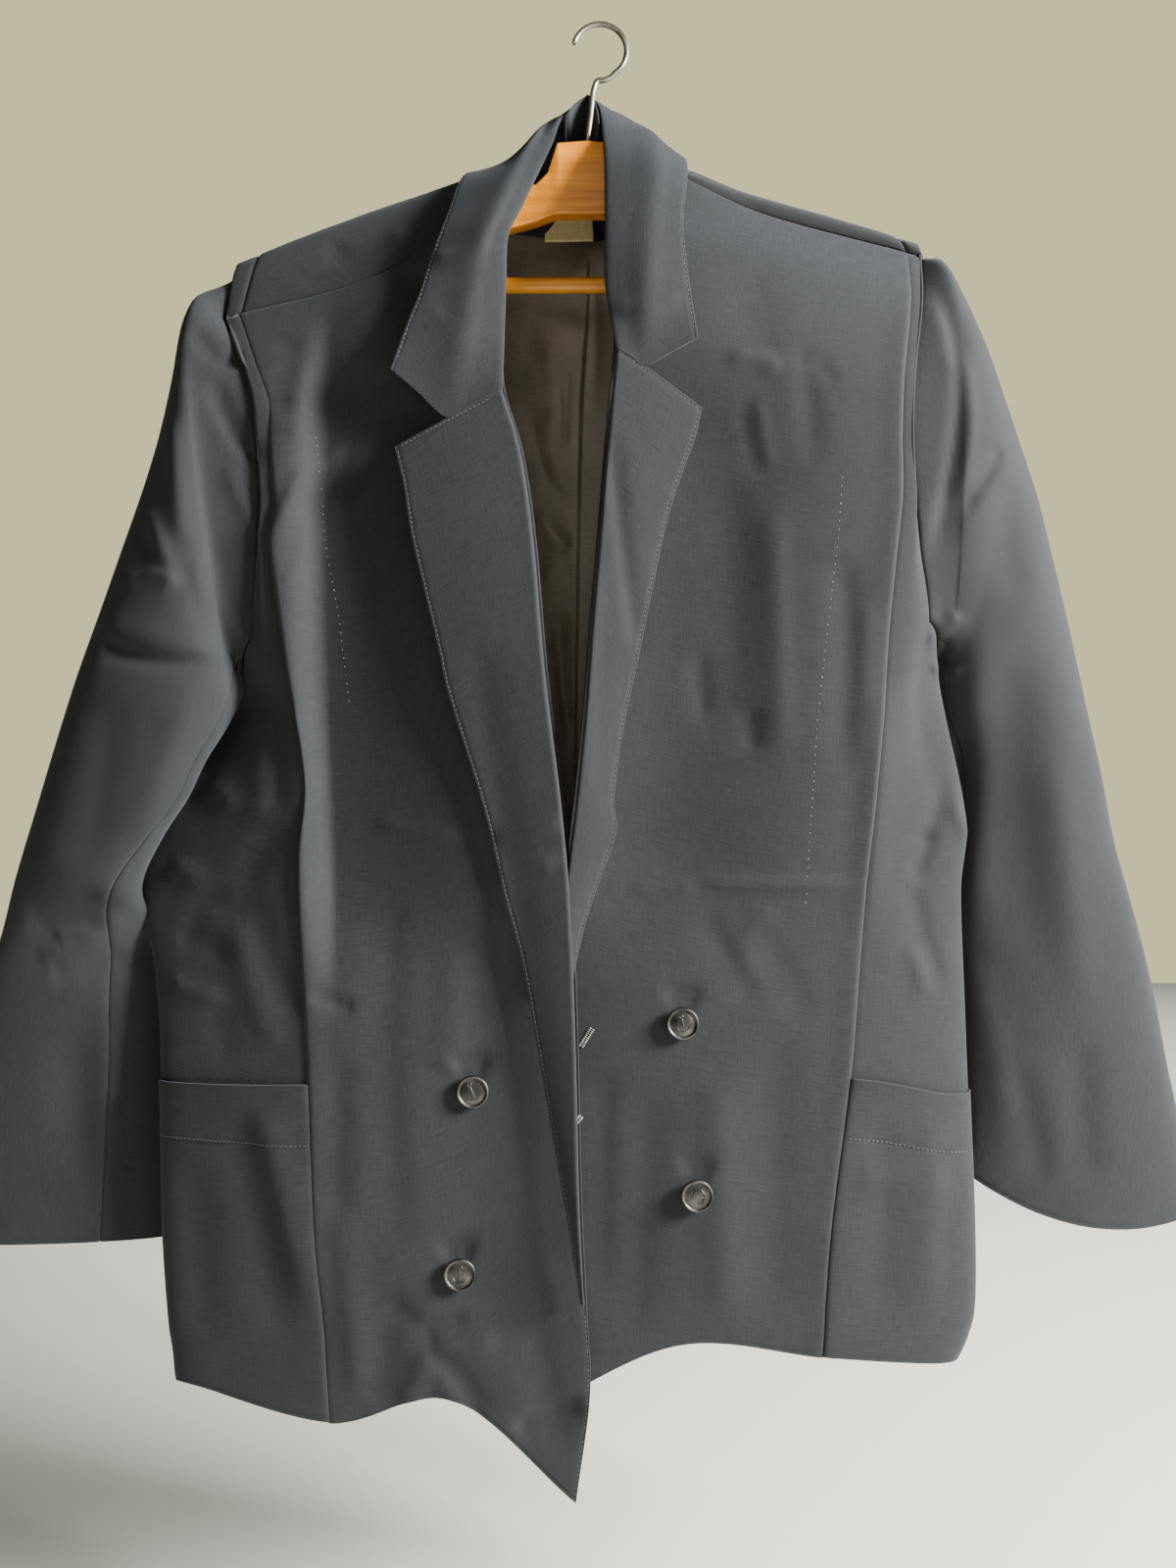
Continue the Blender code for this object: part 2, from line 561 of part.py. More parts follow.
def add_buttons(body, look):
    for number, (x, z, side) in enumerate(BUTTONS, 1):
        mesh = bpy.data.meshes.new(f"button_{number}")
        ring = [(radius * MM, 0, height * MM) for radius, height in BUTTON_PROFILE]
        mesh.from_pydata(ring, [(i, i + 1) for i in range(len(ring) - 1)], [])
        obj = add(f"button_{number}", mesh, look)
        obj.location = x * MM, (front_depth(body, x, z, side) - SEAT) * MM, z * MM
        obj.rotation_euler = np.pi / 2, 0, 0
        turn = obj.modifiers.new("Turn", "SCREW")
        turn.steps = turn.render_steps = 14
        turn.use_merge_vertices = True
        turn.merge_threshold = 0.00001
        turn.use_smooth_shade = True


def cylinder(name, radius, length, place, turn, into):
    mesh = bpy.data.meshes.new(name)
    shape = bmesh.new()
    bmesh.ops.create_cone(shape, cap_ends=True, segments=24, radius1=radius * MM, radius2=radius * MM,
                          depth=length * MM)
    shape.to_mesh(mesh)
    shape.free()
    obj = bpy.data.objects.new(name, mesh)
    obj.location = np.array(place) * MM
    obj.rotation_euler = turn
    into.objects.link(obj)
    return obj


def add_hanger(wood_look, wire_look):
    """Flat board with blind holes for the bar and the hook's stem."""
    out, top, bottom = np.array(HANGER_BOARD, float).T
    outline = [(d, z) for d, z in zip(out, top)] + [(d, z) for d, z in zip(out[::-1], bottom[::-1])]
    outline += [(-d, z) for d, z in zip(out[1:], bottom[1:])] + [(-d, z) for d, z in zip(out[:0:-1], top[:0:-1])]
    shape = bmesh.new()
    front = [shape.verts.new(((HANGER_X + d) * MM, -0.5 * HANGER_THICK * MM, z * MM)) for d, z in outline]
    face = shape.faces.new(front)
    grown = bmesh.ops.extrude_face_region(shape, geom=[face])["geom"]
    moved = [item for item in grown if isinstance(item, bmesh.types.BMVert)]
    bmesh.ops.translate(shape, verts=moved, vec=(0, HANGER_THICK * MM, 0))
    bmesh.ops.recalc_face_normals(shape, faces=shape.faces)
    mesh = bpy.data.meshes.new("hanger_arms")
    shape.to_mesh(mesh)
    shape.free()
    arms = add("hanger_arms", mesh, wood_look, smooth=False)
    edges = arms.modifiers.new("Rounded edges", "BEVEL")
    edges.width = HANGER_EDGE * MM
    edges.segments = 2
    edges.angle_limit = np.radians(50)
    lying = (0, np.pi / 2, 0)
    hole = 2 * STEM_DEPTH
    holes = (
        ("bar_hole", BAR_RADIUS + SEAT, 2 * (BAR_HALF + SEAT), (HANGER_X, 0, BAR_Z), lying),
        ("stem_hole", WIRE_RADIUS + SEAT, hole, (HANGER_X, 0, HANGER_BOARD[0][1]), (0, 0, 0)),
    )
    for name, radius, length, place, turn in holes:
        cutter = cylinder(name, radius, length, place, turn, cutters)
        cutter.hide_render = True
        cutter.display_type = "WIRE"
        cut = arms.modifiers.new(name, "BOOLEAN")
        cut.object = cutter
        cut.operation = "DIFFERENCE"
    bar = cylinder("hanger_bar", BAR_RADIUS, 2 * BAR_HALF, (HANGER_X, 0, BAR_Z), lying, collection)
    bar.data.materials.append(wood_look)
    bar.data.shade_smooth()
    bar.data.set_sharp_from_angle(angle=np.radians(40))

    turns = np.radians(np.linspace(*HOOK_LOOP_ANGLES, 23))
    loop = np.array(HOOK_LOOP_CENTRE) + HOOK_LOOP_RADIUS * np.stack([np.cos(turns), np.sin(turns)], axis=1)
    route = np.array([*HOOK_STEM, *HOOK_KINK, *loop])
    curve = bpy.data.curves.new("hook", "CURVE")
    curve.dimensions = "3D"
    curve.bevel_depth = WIRE_RADIUS * MM
    curve.bevel_resolution = 2
    curve.use_fill_caps = True
    line = curve.splines.new("POLY")
    line.points.add(len(route) - 1)
    for point, (x, z) in zip(line.points, route):
        point.co = x * MM, 0, z * MM, 1
    line.use_smooth = True
    curve.materials.append(wire_look)
    collection.objects.link(bpy.data.objects.new("hook", curve))


for leftover in list(bpy.data.objects):
    bpy.data.objects.remove(leftover)
collection = bpy.data.collections.new("Blazer on a hanger")
cutters = bpy.data.collections.new("Cutters")
cutters.hide_render = True
for made in (collection, cutters):
    bpy.context.scene.collection.children.link(made)

navy = material("Navy cloth", (0.028, 0.032, 0.042), 0.85)
satin = material("Brown satin", (0.045, 0.036, 0.032), 0.45)
cream = material("Cream label", (0.62, 0.52, 0.30), 0.8)
pewter = material("Dark pewter", (0.16, 0.15, 0.14), 0.4, 1.0)
steel = material("Steel wire", (0.40, 0.37, 0.33), 0.35, 1.0)
wood = material("Orange wood", (0.60, 0.26, 0.07), 0.5)

body_control = body_net()
add_hanger(wood, steel)
add_body(body_control, navy)
add_sleeves(body_control, navy)
add_collar(body_control, navy)
add_inside(body_control, navy, satin, cream)
add_pockets(body_control, navy)
add_buttons(body_control, pewter)
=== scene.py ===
"""A double-breasted blazer hanging open on a flat wooden hanger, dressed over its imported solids.

Tables are in millimetres, with +Z up and the front facing -Y; meshes are in metres.
Right and left are the wearer's, so the right half is at -X.
"""

import bpy
import numpy as np
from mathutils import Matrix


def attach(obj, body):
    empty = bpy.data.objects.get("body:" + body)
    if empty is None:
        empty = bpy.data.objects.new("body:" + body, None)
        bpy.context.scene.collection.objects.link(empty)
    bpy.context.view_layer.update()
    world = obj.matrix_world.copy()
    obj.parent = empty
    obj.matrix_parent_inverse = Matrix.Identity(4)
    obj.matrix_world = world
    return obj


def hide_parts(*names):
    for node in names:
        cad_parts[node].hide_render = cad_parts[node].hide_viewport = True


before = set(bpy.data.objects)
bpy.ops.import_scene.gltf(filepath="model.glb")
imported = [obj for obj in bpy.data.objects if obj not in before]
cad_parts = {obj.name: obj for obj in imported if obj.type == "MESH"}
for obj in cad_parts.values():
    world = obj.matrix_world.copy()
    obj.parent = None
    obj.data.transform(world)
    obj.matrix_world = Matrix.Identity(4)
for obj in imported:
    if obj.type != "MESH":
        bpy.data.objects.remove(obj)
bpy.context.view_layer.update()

# Hanger board and trouser bar
# A flat beech board with rounded edges, varnished orange, sawn to the slope of the shoulders.
# The round bar is glued into the board's two ends, and the grain runs along both.

MM = 0.001
HANGER_X = -8.7


def node_kit(tree):
    """Short ways to add a node and to link sockets in one tree."""

    def add(kind, place, sockets=None, **settings):
        node = tree.nodes.new(kind)
        node.location = place
        for name, value in settings.items():
            setattr(node, name, value)
        for name, value in (sockets or {}).items():
            node.inputs[name].default_value = value
        return node

    return add, tree.links.new


def group_node(tree, group, place, **values):
    """A node group placed in a material with its own values."""
    node = tree.nodes.new("ShaderNodeGroup")
    node.node_tree = group
    node.location = place
    for name, value in values.items():
        node.inputs[name.replace("_", " ")].default_value = value
    return node


def new_group(name, inputs, outputs):
    """An empty shader group with its named sockets, given as (name, kind, value)."""
    group = bpy.data.node_groups.new(name, "ShaderNodeTree")
    for label, kind, value in inputs:
        socket = group.interface.new_socket(label, in_out="INPUT", socket_type=kind)
        if value is not None:
            socket.default_value = value
    for label, kind in outputs:
        group.interface.new_socket(label, in_out="OUTPUT", socket_type=kind)
    return group


def wood_grain_group():
    """Grain lines along X: noise stretched 40 to 1, with darker pores and a slow change of tone."""
    group = new_group(
        "Wood grain",
        (("Vector", "NodeSocketVector", None), ("Light", "NodeSocketColor", (0.85, 0.30, 0.006, 1)),
         ("Dark", "NodeSocketColor", (0.58, 0.17, 0.003, 1))),
        (("Color", "NodeSocketColor"), ("Roughness", "NodeSocketFloat"), ("Height", "NodeSocketFloat")),
    )
    add, link = node_kit(group)
    source = add("NodeGroupInput", (-900, 0))
    result = add("NodeGroupOutput", (700, 0))
    fine = add("ShaderNodeMapping", (-700, 150), {"Scale": (14, 500, 500)})
    broad = add("ShaderNodeMapping", (-700, -200), {"Scale": (5, 70, 70)})
    lines = add("ShaderNodeTexNoise", (-450, 150), {"Scale": 2.2, "Detail": 4})
    bands = add("ShaderNodeTexNoise", (-450, -200), {"Scale": 3.0, "Detail": 2})
    mixed = add("ShaderNodeMath", (-200, 0), {1: 0.55}, operation="MULTIPLY_ADD")
    tone = add("ShaderNodeMapRange", (0, 0), {"From Min": 0.55, "From Max": 1.05})
    colour = add("ShaderNodeMix", (250, 100), data_type="RGBA")
    rough = add("ShaderNodeMapRange", (250, -150), {"To Min": 0.30, "To Max": 0.45})
    for mapping in (fine, broad):
        link(source.outputs["Vector"], mapping.inputs["Vector"])
    link(fine.outputs["Vector"], lines.inputs["Vector"])
    link(broad.outputs["Vector"], bands.inputs["Vector"])
    link(lines.outputs["Fac"], mixed.inputs[0])
    link(bands.outputs["Fac"], mixed.inputs[2])
    link(mixed.outputs[0], tone.inputs["Value"])
    link(tone.outputs["Result"], colour.inputs["Factor"])
    link(source.outputs["Light"], colour.inputs[6])
    link(source.outputs["Dark"], colour.inputs[7])
    link(tone.outputs["Result"], rough.inputs["Value"])
    link(colour.outputs[2], result.inputs["Color"])
    link(rough.outputs["Result"], result.inputs["Roughness"])
    link(lines.outputs["Fac"], result.inputs["Height"])
    return group


def finish_material(name, pattern, vector, bump, distance, **shader_values):
    """A Principled material whose colour, roughness and bump come from one pattern group."""
    made = bpy.data.materials.new(name)
    made.use_nodes = True
    tree = made.node_tree
    add, link = node_kit(tree)
    shader = tree.nodes["Principled BSDF"]
    for socket, value in shader_values.items():
        shader.inputs[socket.replace("_", " ")].default_value = value
    relief = add("ShaderNodeBump", (-250, -250), {"Strength": bump, "Distance": distance})
    if vector == "UV":
        place = add("ShaderNodeUVMap", (-800, 0), uv_map="Cloth")
        start = place.outputs["UV"]
    else:
        place = add("ShaderNodeTexCoord", (-800, 0))
        start = place.outputs["Object"]
    pattern = pattern(tree)
    pattern.location = (-550, 0)
    link(start, pattern.inputs["Vector"])
    link(pattern.outputs["Color"], shader.inputs["Base Color"])
    link(pattern.outputs["Roughness"], shader.inputs["Roughness"])
    link(pattern.outputs["Height"], relief.inputs["Height"])
    link(relief.outputs["Normal"], shader.inputs["Normal"])
    return made


wood_grain = wood_grain_group()


def board_pattern(tree):
    return group_node(tree, wood_grain, (0, 0))


def bar_pattern(tree):
    return group_node(tree, wood_grain, (0, 0), Light=(0.90, 0.36, 0.015, 1), Dark=(0.68, 0.23, 0.008, 1))


varnished_board = finish_material("Varnished board", board_pattern, "Object", 0.15, 0.0004, Coat_Weight=0.35,
                                  Coat_Roughness=0.25)
varnished_bar = finish_material("Varnished bar", bar_pattern, "Object", 0.1, 0.0003, Coat_Weight=0.35,
                                Coat_Roughness=0.2)

# Distance from the middle, top and bottom of the board
BOARD = (
    (0, -77.5, -126),
    (20, -79, -126),
    (26, -98, -128),
    (34, -106, -131),
    (45, -108.5, -134),
    (63, -110, -139),
    (107, -119.5, -151),
    (131, -128.5, -156),
    (150, -137, -161),
    (177, -147, -170),
    (200, -157.5, -186),
    (209, -163, -184),
    (213, -172, -177),
)
BOARD_THICK = 12.0
BOARD_ROUND = 2.2
BOARD_SIDES = 32
BAR_HALF = 194
BAR_Z = -171.0
BAR_RADIUS = 5
BAR_CHAMFER = 0.4
BAR_SIDES = 48


def as_mesh(name, points, faces, look, smooth=True):
    """A mesh object from an array of points in millimetres and a list of faces."""
    mesh = bpy.data.meshes.new(name)
    mesh.from_pydata((np.reshape(points, (-1, 3)) * MM).tolist(), [], faces)
    mesh.materials.append(look)
    if smooth:
        mesh.shade_smooth()
    made = bpy.data.objects.new(name, mesh)
    bpy.context.scene.collection.objects.link(made)
    return made


def loop_faces(rings, sides, closed=False):
    """Quads between rings of points, each ring closed on itself, and its two ends closed by fans."""
    corner = np.arange(rings * sides).reshape(rings, sides)
    turned = np.roll(corner, -1, axis=1)
    quads = np.stack([corner[:-1], corner[1:], turned[1:], turned[:-1]], axis=-1).reshape(-1, 4)
    if closed:
        return quads.tolist()
    return quads.tolist() + [corner[0].tolist(), corner[-1, ::-1].tolist()]


def hanger_board():
    """Rounded rectangle carried along X: its half height follows the table of the board's top and bottom."""
    out, top, bottom = np.array(BOARD, float).T
    fine = np.unique(np.concatenate([np.linspace(0, out[-1] - 0.05, 90), out[:-1]]))
    fine = np.concatenate([-fine[:0:-1], fine])
    high = np.interp(np.abs(fine), out, top)
    low = np.interp(np.abs(fine), out, bottom)
    turn = (np.arange(BOARD_SIDES) + 0.5) * 2 * np.pi / BOARD_SIDES
    cosine, sine = np.cos(turn), np.sin(turn)
    radius = np.minimum(BOARD_ROUND, 0.45 * (high - low))[:, None]
    y = np.sign(cosine) * (0.5 * BOARD_THICK - radius) + radius * cosine
    z = 0.5 * (high + low)[:, None] + np.sign(sine) * (0.5 * (high - low)[:, None] - radius) + radius * sine
    x = np.repeat(HANGER_X + fine[:, None], BOARD_SIDES, axis=1)
    faces = loop_faces(len(fine), BOARD_SIDES)
    return as_mesh("hanger_board", np.stack([x, y, z], axis=-1), faces, varnished_board)


def tube(name, path, radius, look, sides=20):
    """A circle carried along a path: each ring stands square to the path's direction."""
    path = np.asarray(path, float)
    along = np.gradient(path, axis=0)
    along /= np.linalg.norm(along, axis=1, keepdims=True)
    side = np.cross(along, (0, 1, 0))
    side /= np.linalg.norm(side, axis=1, keepdims=True)
    up = np.cross(side, along)
    turn = np.arange(sides) * 2 * np.pi / sides
    radius = np.broadcast_to(radius, len(path))[:, None, None]
    circle = np.cos(turn)[:, None] * side[:, None] + np.sin(turn)[:, None] * up[:, None]
    rings = path[:, None] + radius * circle
    return as_mesh(name, rings, loop_faces(len(path), sides), look)


board = hanger_board()
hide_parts("hanger_arms")
bar_ends = HANGER_X + np.array((-BAR_HALF, 0.5 - BAR_HALF, BAR_HALF - 0.5, BAR_HALF))
bar_path = np.stack([bar_ends, np.zeros(4), np.full(4, BAR_Z)], axis=1)
bar_end_radius = BAR_RADIUS - BAR_CHAMFER
bar_radii = (bar_end_radius, BAR_RADIUS, BAR_RADIUS, bar_end_radius)
bar = tube("trouser_bar", bar_path, bar_radii, varnished_bar, BAR_SIDES)
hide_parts("hanger_bar")
for piece in (board, bar):
    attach(piece, "root")

# Hook
# Steel wire 3.5 mm thick, bent cold into a kinked stem and an open loop, and pressed into the board.
# Its plating has dulled to grey brown, with fine scratches round the wire.

WIRE_RADIUS = 1.75
WIRE_STEM = ((-8.7, -91), (-8.7, -77), (-6.4, -56), (-5.2, -44), (-2.6, -36.2), (2.4, -35.2), (7.4, -33.0))
LOOP_CENTRE = (-0.6, -15.9)
LOOP_RADIUS = 17.7
LOOP_ANGLES = (-55, 165)


def through(values, at):
    """Smooth curve through rows of values: p0 h00 + m0 h10 + p1 h01 + m1 h11, with slopes of neighbours."""
    values = np.asarray(values, float)
    at = np.atleast_1d(np.asarray(at, float))
    slopes = np.gradient(values, axis=0)
    first = np.clip(np.floor(at).astype(int), 0, len(values) - 2)
    f = (at - first).reshape((-1,) + (1,) * (values.ndim - 1))
    start = values[first] * (2 * f**3 - 3 * f**2 + 1) + slopes[first] * (f**3 - 2 * f**2 + f)
    end = values[first + 1] * (3 * f**2 - 2 * f**3) + slopes[first + 1] * (f**3 - f**2)
    return start + end


def dull_wire_group():
    """Grey-brown plating: fine noise for scratches and a slow one where it has darkened."""
    group = new_group(
        "Dull plating",
        (("Vector", "NodeSocketVector", None), ("Bright", "NodeSocketColor", (0.42, 0.39, 0.34, 1)),
         ("Dark", "NodeSocketColor", (0.16, 0.14, 0.12, 1)), ("Grain", "NodeSocketFloat", 900.0)),
        (("Color", "NodeSocketColor"), ("Roughness", "NodeSocketFloat"), ("Height", "NodeSocketFloat")),
    )
    add, link = node_kit(group)
    source = add("NodeGroupInput", (-700, 0))
    result = add("NodeGroupOutput", (500, 0))
    grain = add("ShaderNodeTexNoise", (-400, 150), {"Detail": 3})
    cloud = add("ShaderNodeTexNoise", (-400, -150), {"Scale": 90, "Detail": 3})
    worn = add("ShaderNodeMapRange", (-150, -150), {"From Min": 0.35, "From Max": 0.7})
    colour = add("ShaderNodeMix", (100, 100), data_type="RGBA")
    rough = add("ShaderNodeMapRange", (100, -150), {"To Min": 0.28, "To Max": 0.5})
    for texture in (grain, cloud):
        link(source.outputs["Vector"], texture.inputs["Vector"])
    link(source.outputs["Grain"], grain.inputs["Scale"])
    link(cloud.outputs["Fac"], worn.inputs["Value"])
    link(worn.outputs["Result"], colour.inputs["Factor"])
    link(source.outputs["Bright"], colour.inputs[6])
    link(source.outputs["Dark"], colour.inputs[7])
    link(grain.outputs["Fac"], rough.inputs["Value"])
    link(colour.outputs[2], result.inputs["Color"])
    link(rough.outputs["Result"], result.inputs["Roughness"])
    link(grain.outputs["Fac"], result.inputs["Height"])
    return group


dull_plating = dull_wire_group()


def wire_pattern(tree):
    return group_node(tree, dull_plating, (0, 0))


plated_wire = finish_material("Dull plated wire", wire_pattern, "Object", 0.1, 0.0002, Metallic=1.0)
turns = np.radians(np.linspace(*LOOP_ANGLES, 40))
loop = np.array(LOOP_CENTRE) + LOOP_RADIUS * np.stack([np.cos(turns), np.sin(turns)], axis=1)
bent = through(WIRE_STEM, np.linspace(0, len(WIRE_STEM) - 1, 60))
bent = np.concatenate([bent[:-1], loop])
wire_path = np.stack([bent[:, 0], np.zeros(len(bent)), bent[:, 1]], axis=1)
wire_radii = np.full(len(wire_path), WIRE_RADIUS)
wire_radii[[0, -1]] *= 0.7
hook = tube("wire_hook", wire_path, wire_radii, plated_wire)
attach(hook, "root")
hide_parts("hook")

# Cloth of the body
# Two fronts, two side panels and a back in navy wool-mix cloth, sewn edge to edge with pressed seams.
# They hang from the hanger's shoulders, open at the neck, the hem and the armholes.

RIGHT, LEFT = -1, 1
CLOTH = 1.2
GARMENT_CENTRE_X = -10.0
EDGE, CHEST, SEAM_FRONT, ARM_FRONT, SIDE, ARM_BACK, SEAM_BACK, SHOULDER, NECK, CENTRE = range(10)
LAST_COLUMN = 2 * CENTRE
SHOULDER_ROWS = 4
UNDERARM_ROW = 6
HEM_ROW = 15
# One row per height: front edge x, z, y; long seam x, z, y; armhole or side fold x, z, y
RIGHT_FRONT = (
    (-58, -104, -15, -234, -194, -14, -245, -197, -10),
    (-66, -192, -38, -220, -229, -30, -234, -219, -24),
    (-62, -230, -42, -209, -259, -37, -223, -250, -31),
    (-60, -255, -43, -207, -288, -39, -219, -282, -34),
    (-49, -292, -44, -204, -322, -40, -216, -318, -35),
    (-41, -345, -45, -206, -353, -40, -218, -352, -34),
    (-35, -415, -45, -196, -425, -38, -224, -410, -28),
    (-31, -452, -45, -192, -451, -36, -246, -452, 0),
    (-24, -507, -45, -186, -502, -36, -286, -508, 4),
    (-19, -558, -45, -189, -550, -36, -304, -560, 2),
    (-16, -614, -45, -187, -616, -36, -291, -622, -8),
    (-14, -678, -45, -183, -690, -37, -286, -692, -12),
    (-12, -764, -45, -180, -779, -36, -284, -785, -12),
    (-9, -830, -44, -175, -842, -34, -280, -845, -12),
    (-7, -883, -43, -173, -876, -34, -277, -867, -12),
    (-16, -952, -42, -171, -906, -33, -275, -888, -12),
)
LEFT_FRONT = (
    (34, -98, -12, 201, -151, -6, 210, -154, -4),
    (20, -150, -31, 198, -189, -24, 206, -188, -20),
    (9, -210, -38, 191, -238, -35, 198, -235, -29),
    (7, -232, -40, 189, -277, -37, 196, -277, -32),
    (2, -285, -40, 189, -317, -38, 199, -314, -32),
    (-3, -344, -40, 185, -357, -38, 203, -351, -31),
    (-8, -402, -40, 181, -403, -36, 210, -397, -26),
    (-12, -454, -40, 178, -452, -35, 223, -451, -12),
    (-18, -513, -40, 172, -519, -34, 237, -523, -12),
    (-24, -562, -39, 167, -563, -34, 234, -568, -12),
    (-30, -624, -38, 162, -625, -34, 236, -622, -12),
    (-36, -692, -38, 157, -687, -34, 239, -699, -12),
    (-39, -772, -38, 146, -774, -34, 242, -781, -12),
    (-41, -835, -37, 142, -826, -33, 242, -835, -12),
    (-42, -866, -36, 141, -848, -33, 238, -856, -12),
    (-42, -897, -36, 140, -865, -32, 231, -873, -12),
)
# Height of the chest column at the hem
CHEST_HEM = {RIGHT: -889, LEFT: -856}
# Front and back of the shoulder's ridge and the row behind: armhole, seam, shoulder, neck as x, z, y
RIGHT_SHOULDER = (
    ((-242, -171, -5), (-226, -156, -6), (-128, -121, -8), (-64, -104, -8)),
    ((-240, -171, 9), (-224, -156, 10), (-128, -121, 12), (-64, -102, 12)),
    ((-232, -232, 23), (-190, -205, 26), (-130, -195, 29), (-62, -190, 31)),
)
LEFT_SHOULDER = (
    ((212, -149, -3), (196, -143, -6), (100, -116, -8), (40, -99, -8)),
    ((211, -149, 9), (194, -143, 10), (100, -116, 12), (40, -97, 12)),
    ((202, -225, 23), (175, -205, 26), (100, -195, 29), (36, -185, 31)),
)
CHEST_SHOULDER = {RIGHT: (-140, -20, -169), LEFT: (107, -9, -127)}
BACK_NECK = ((-86, 33), (-102, 34), (-128, 34), (-190, 33))
BACK_DEPTH = (31, 29, 28, 27, 26, 26, 26, 27, 27, 27, 26, 26)
ARM_BACK_DEPTH = (24, 22, 14)
BACK_SPREAD = {SEAM_BACK: 0.72, SHOULDER: 0.38, NECK: 0.18}
BACK_ARCH = 3
CHEST_ROLL = 1.5
SIDE_FOLD_WIDTH = 18
SIDE_FOLD_DEPTH = 11
ARMHOLE_OUT = 9
ARMHOLE_Y = -6
UNDERARM_DIP = 20
LEFT_SHOULDER_DROP = 6


def net(control, rows, columns):
    """Surface through a control grid, sampled on the grid of rows and columns."""
    along = through(control, rows)
    return np.swapaxes(through(np.swapaxes(along, 0, 1), columns), 0, 1)


def net_at(control, rows, columns):
    """The same surface at pairs of a row and a column: four rows' curves, each met at its own column."""
    shape = np.shape(rows)
    rows, columns = np.ravel(rows), np.ravel(columns)
    row_slopes = np.gradient(control, axis=0)
    first = np.clip(np.floor(rows).astype(int), 0, len(control) - 2)
    f = (rows - first)[:, None, None]
    along = (control[first] * (2 * f**3 - 3 * f**2 + 1) + row_slopes[first] * (f**3 - 2 * f**2 + f)
             + control[first + 1] * (3 * f**2 - 2 * f**3) + row_slopes[first + 1] * (f**3 - f**2))
    slopes = np.gradient(along, axis=1)
    pick = np.arange(len(rows))
    first = np.clip(np.floor(columns).astype(int), 0, control.shape[1] - 2)
    f = (columns - first)[:, None]
    points = (along[pick, first] * (2 * f**3 - 3 * f**2 + 1) + slopes[pick, first] * (f**3 - 2 * f**2 + f)
              + along[pick, first + 1] * (3 * f**2 - 2 * f**3) + slopes[pick, first + 1] * (f**3 - f**2))
    return points.reshape(shape + (3,))


def outward(points):
    """Unit normals of a grid: the cross product of its column and row directions."""
    normals = np.cross(np.gradient(points, axis=1), np.gradient(points, axis=0))
    return normals / np.maximum(np.linalg.norm(normals, axis=2, keepdims=True), 1e-9)


def on_side(columns, side):
    """Columns given from the right front edge, as they are or counted from the left one."""
    return columns if side == RIGHT else (LAST_COLUMN - columns)[::-1]


def half_body(front, shoulder, side):
    """Control columns of one half, from the front edge to the one beside the centre back."""
    table = np.array(front, float)
    edge, seam, fold = table[:, (0, 2, 1)], table[:, (3, 5, 4)], table[:, (6, 8, 7)]
    chest = 0.5 * (edge + seam) - (0, CHEST_ROLL, 0)
    chest[0] = CHEST_SHOULDER[side]
    chest[HEM_ROW, 2] = CHEST_HEM[side]
    chest[HEM_ROW - 1, 2] = 0.5 * (chest[HEM_ROW, 2] + chest[HEM_ROW - 2, 2])
    arm_front, arm_side, arm_back = fold.copy(), fold.copy(), fold.copy()
    below = slice(UNDERARM_ROW + 1, None)
    arm_front[below] += (-side * SIDE_FOLD_WIDTH, -SIDE_FOLD_DEPTH, 0)
    arm_back[below] += (-side * SIDE_FOLD_WIDTH, SIDE_FOLD_DEPTH, 0)
    above = slice(0, UNDERARM_ROW + 1)
    arm_side[above, 0] += side * ARMHOLE_OUT
    arm_side[above, 1] = ARMHOLE_Y
    arm_side[UNDERARM_ROW, 2] -= UNDERARM_DIP
    arm_back[SHOULDER_ROWS:UNDERARM_ROW + 1, 1] = ARM_BACK_DEPTH
    columns = [edge, chest, seam, arm_front, arm_side, arm_back]
    for column, share in BACK_SPREAD.items():
        points = arm_back.copy()
        points[:, 0] = GARMENT_CENTRE_X + share * (fold[:, 0] - GARMENT_CENTRE_X)
        points[SHOULDER_ROWS:, 1] = np.array(BACK_DEPTH) - BACK_ARCH * share
        columns.append(points)
    for front_column, back_column in enumerate((NECK, SHOULDER, SEAM_BACK, ARM_BACK)):
        columns[back_column][0] = columns[front_column][0]
    for row, heights in enumerate(shoulder, 1):
        for column, (x, z, y) in zip((ARM_BACK, SEAM_BACK, SHOULDER, NECK), heights):
            columns[column][row] = x, y, z
    return columns


right_half = half_body(RIGHT_FRONT, RIGHT_SHOULDER, RIGHT)
left_half = half_body(LEFT_FRONT, LEFT_SHOULDER, LEFT)
centre_back = 0.5 * (right_half[NECK] + left_half[NECK])
centre_back[:, 0] = GARMENT_CENTRE_X
centre_back[SHOULDER_ROWS:, 1] = BACK_DEPTH
centre_back[:len(BACK_NECK), 1:] = np.array(BACK_NECK)[:, ::-1]
body = np.stack(right_half + [centre_back] + left_half[::-1], axis=1)
# The left shoulder's end lies a little lower, where the sleeve's head begins
body[1:3, LAST_COLUMN - ARM_BACK, 2] -= LEFT_SHOULDER_DROP

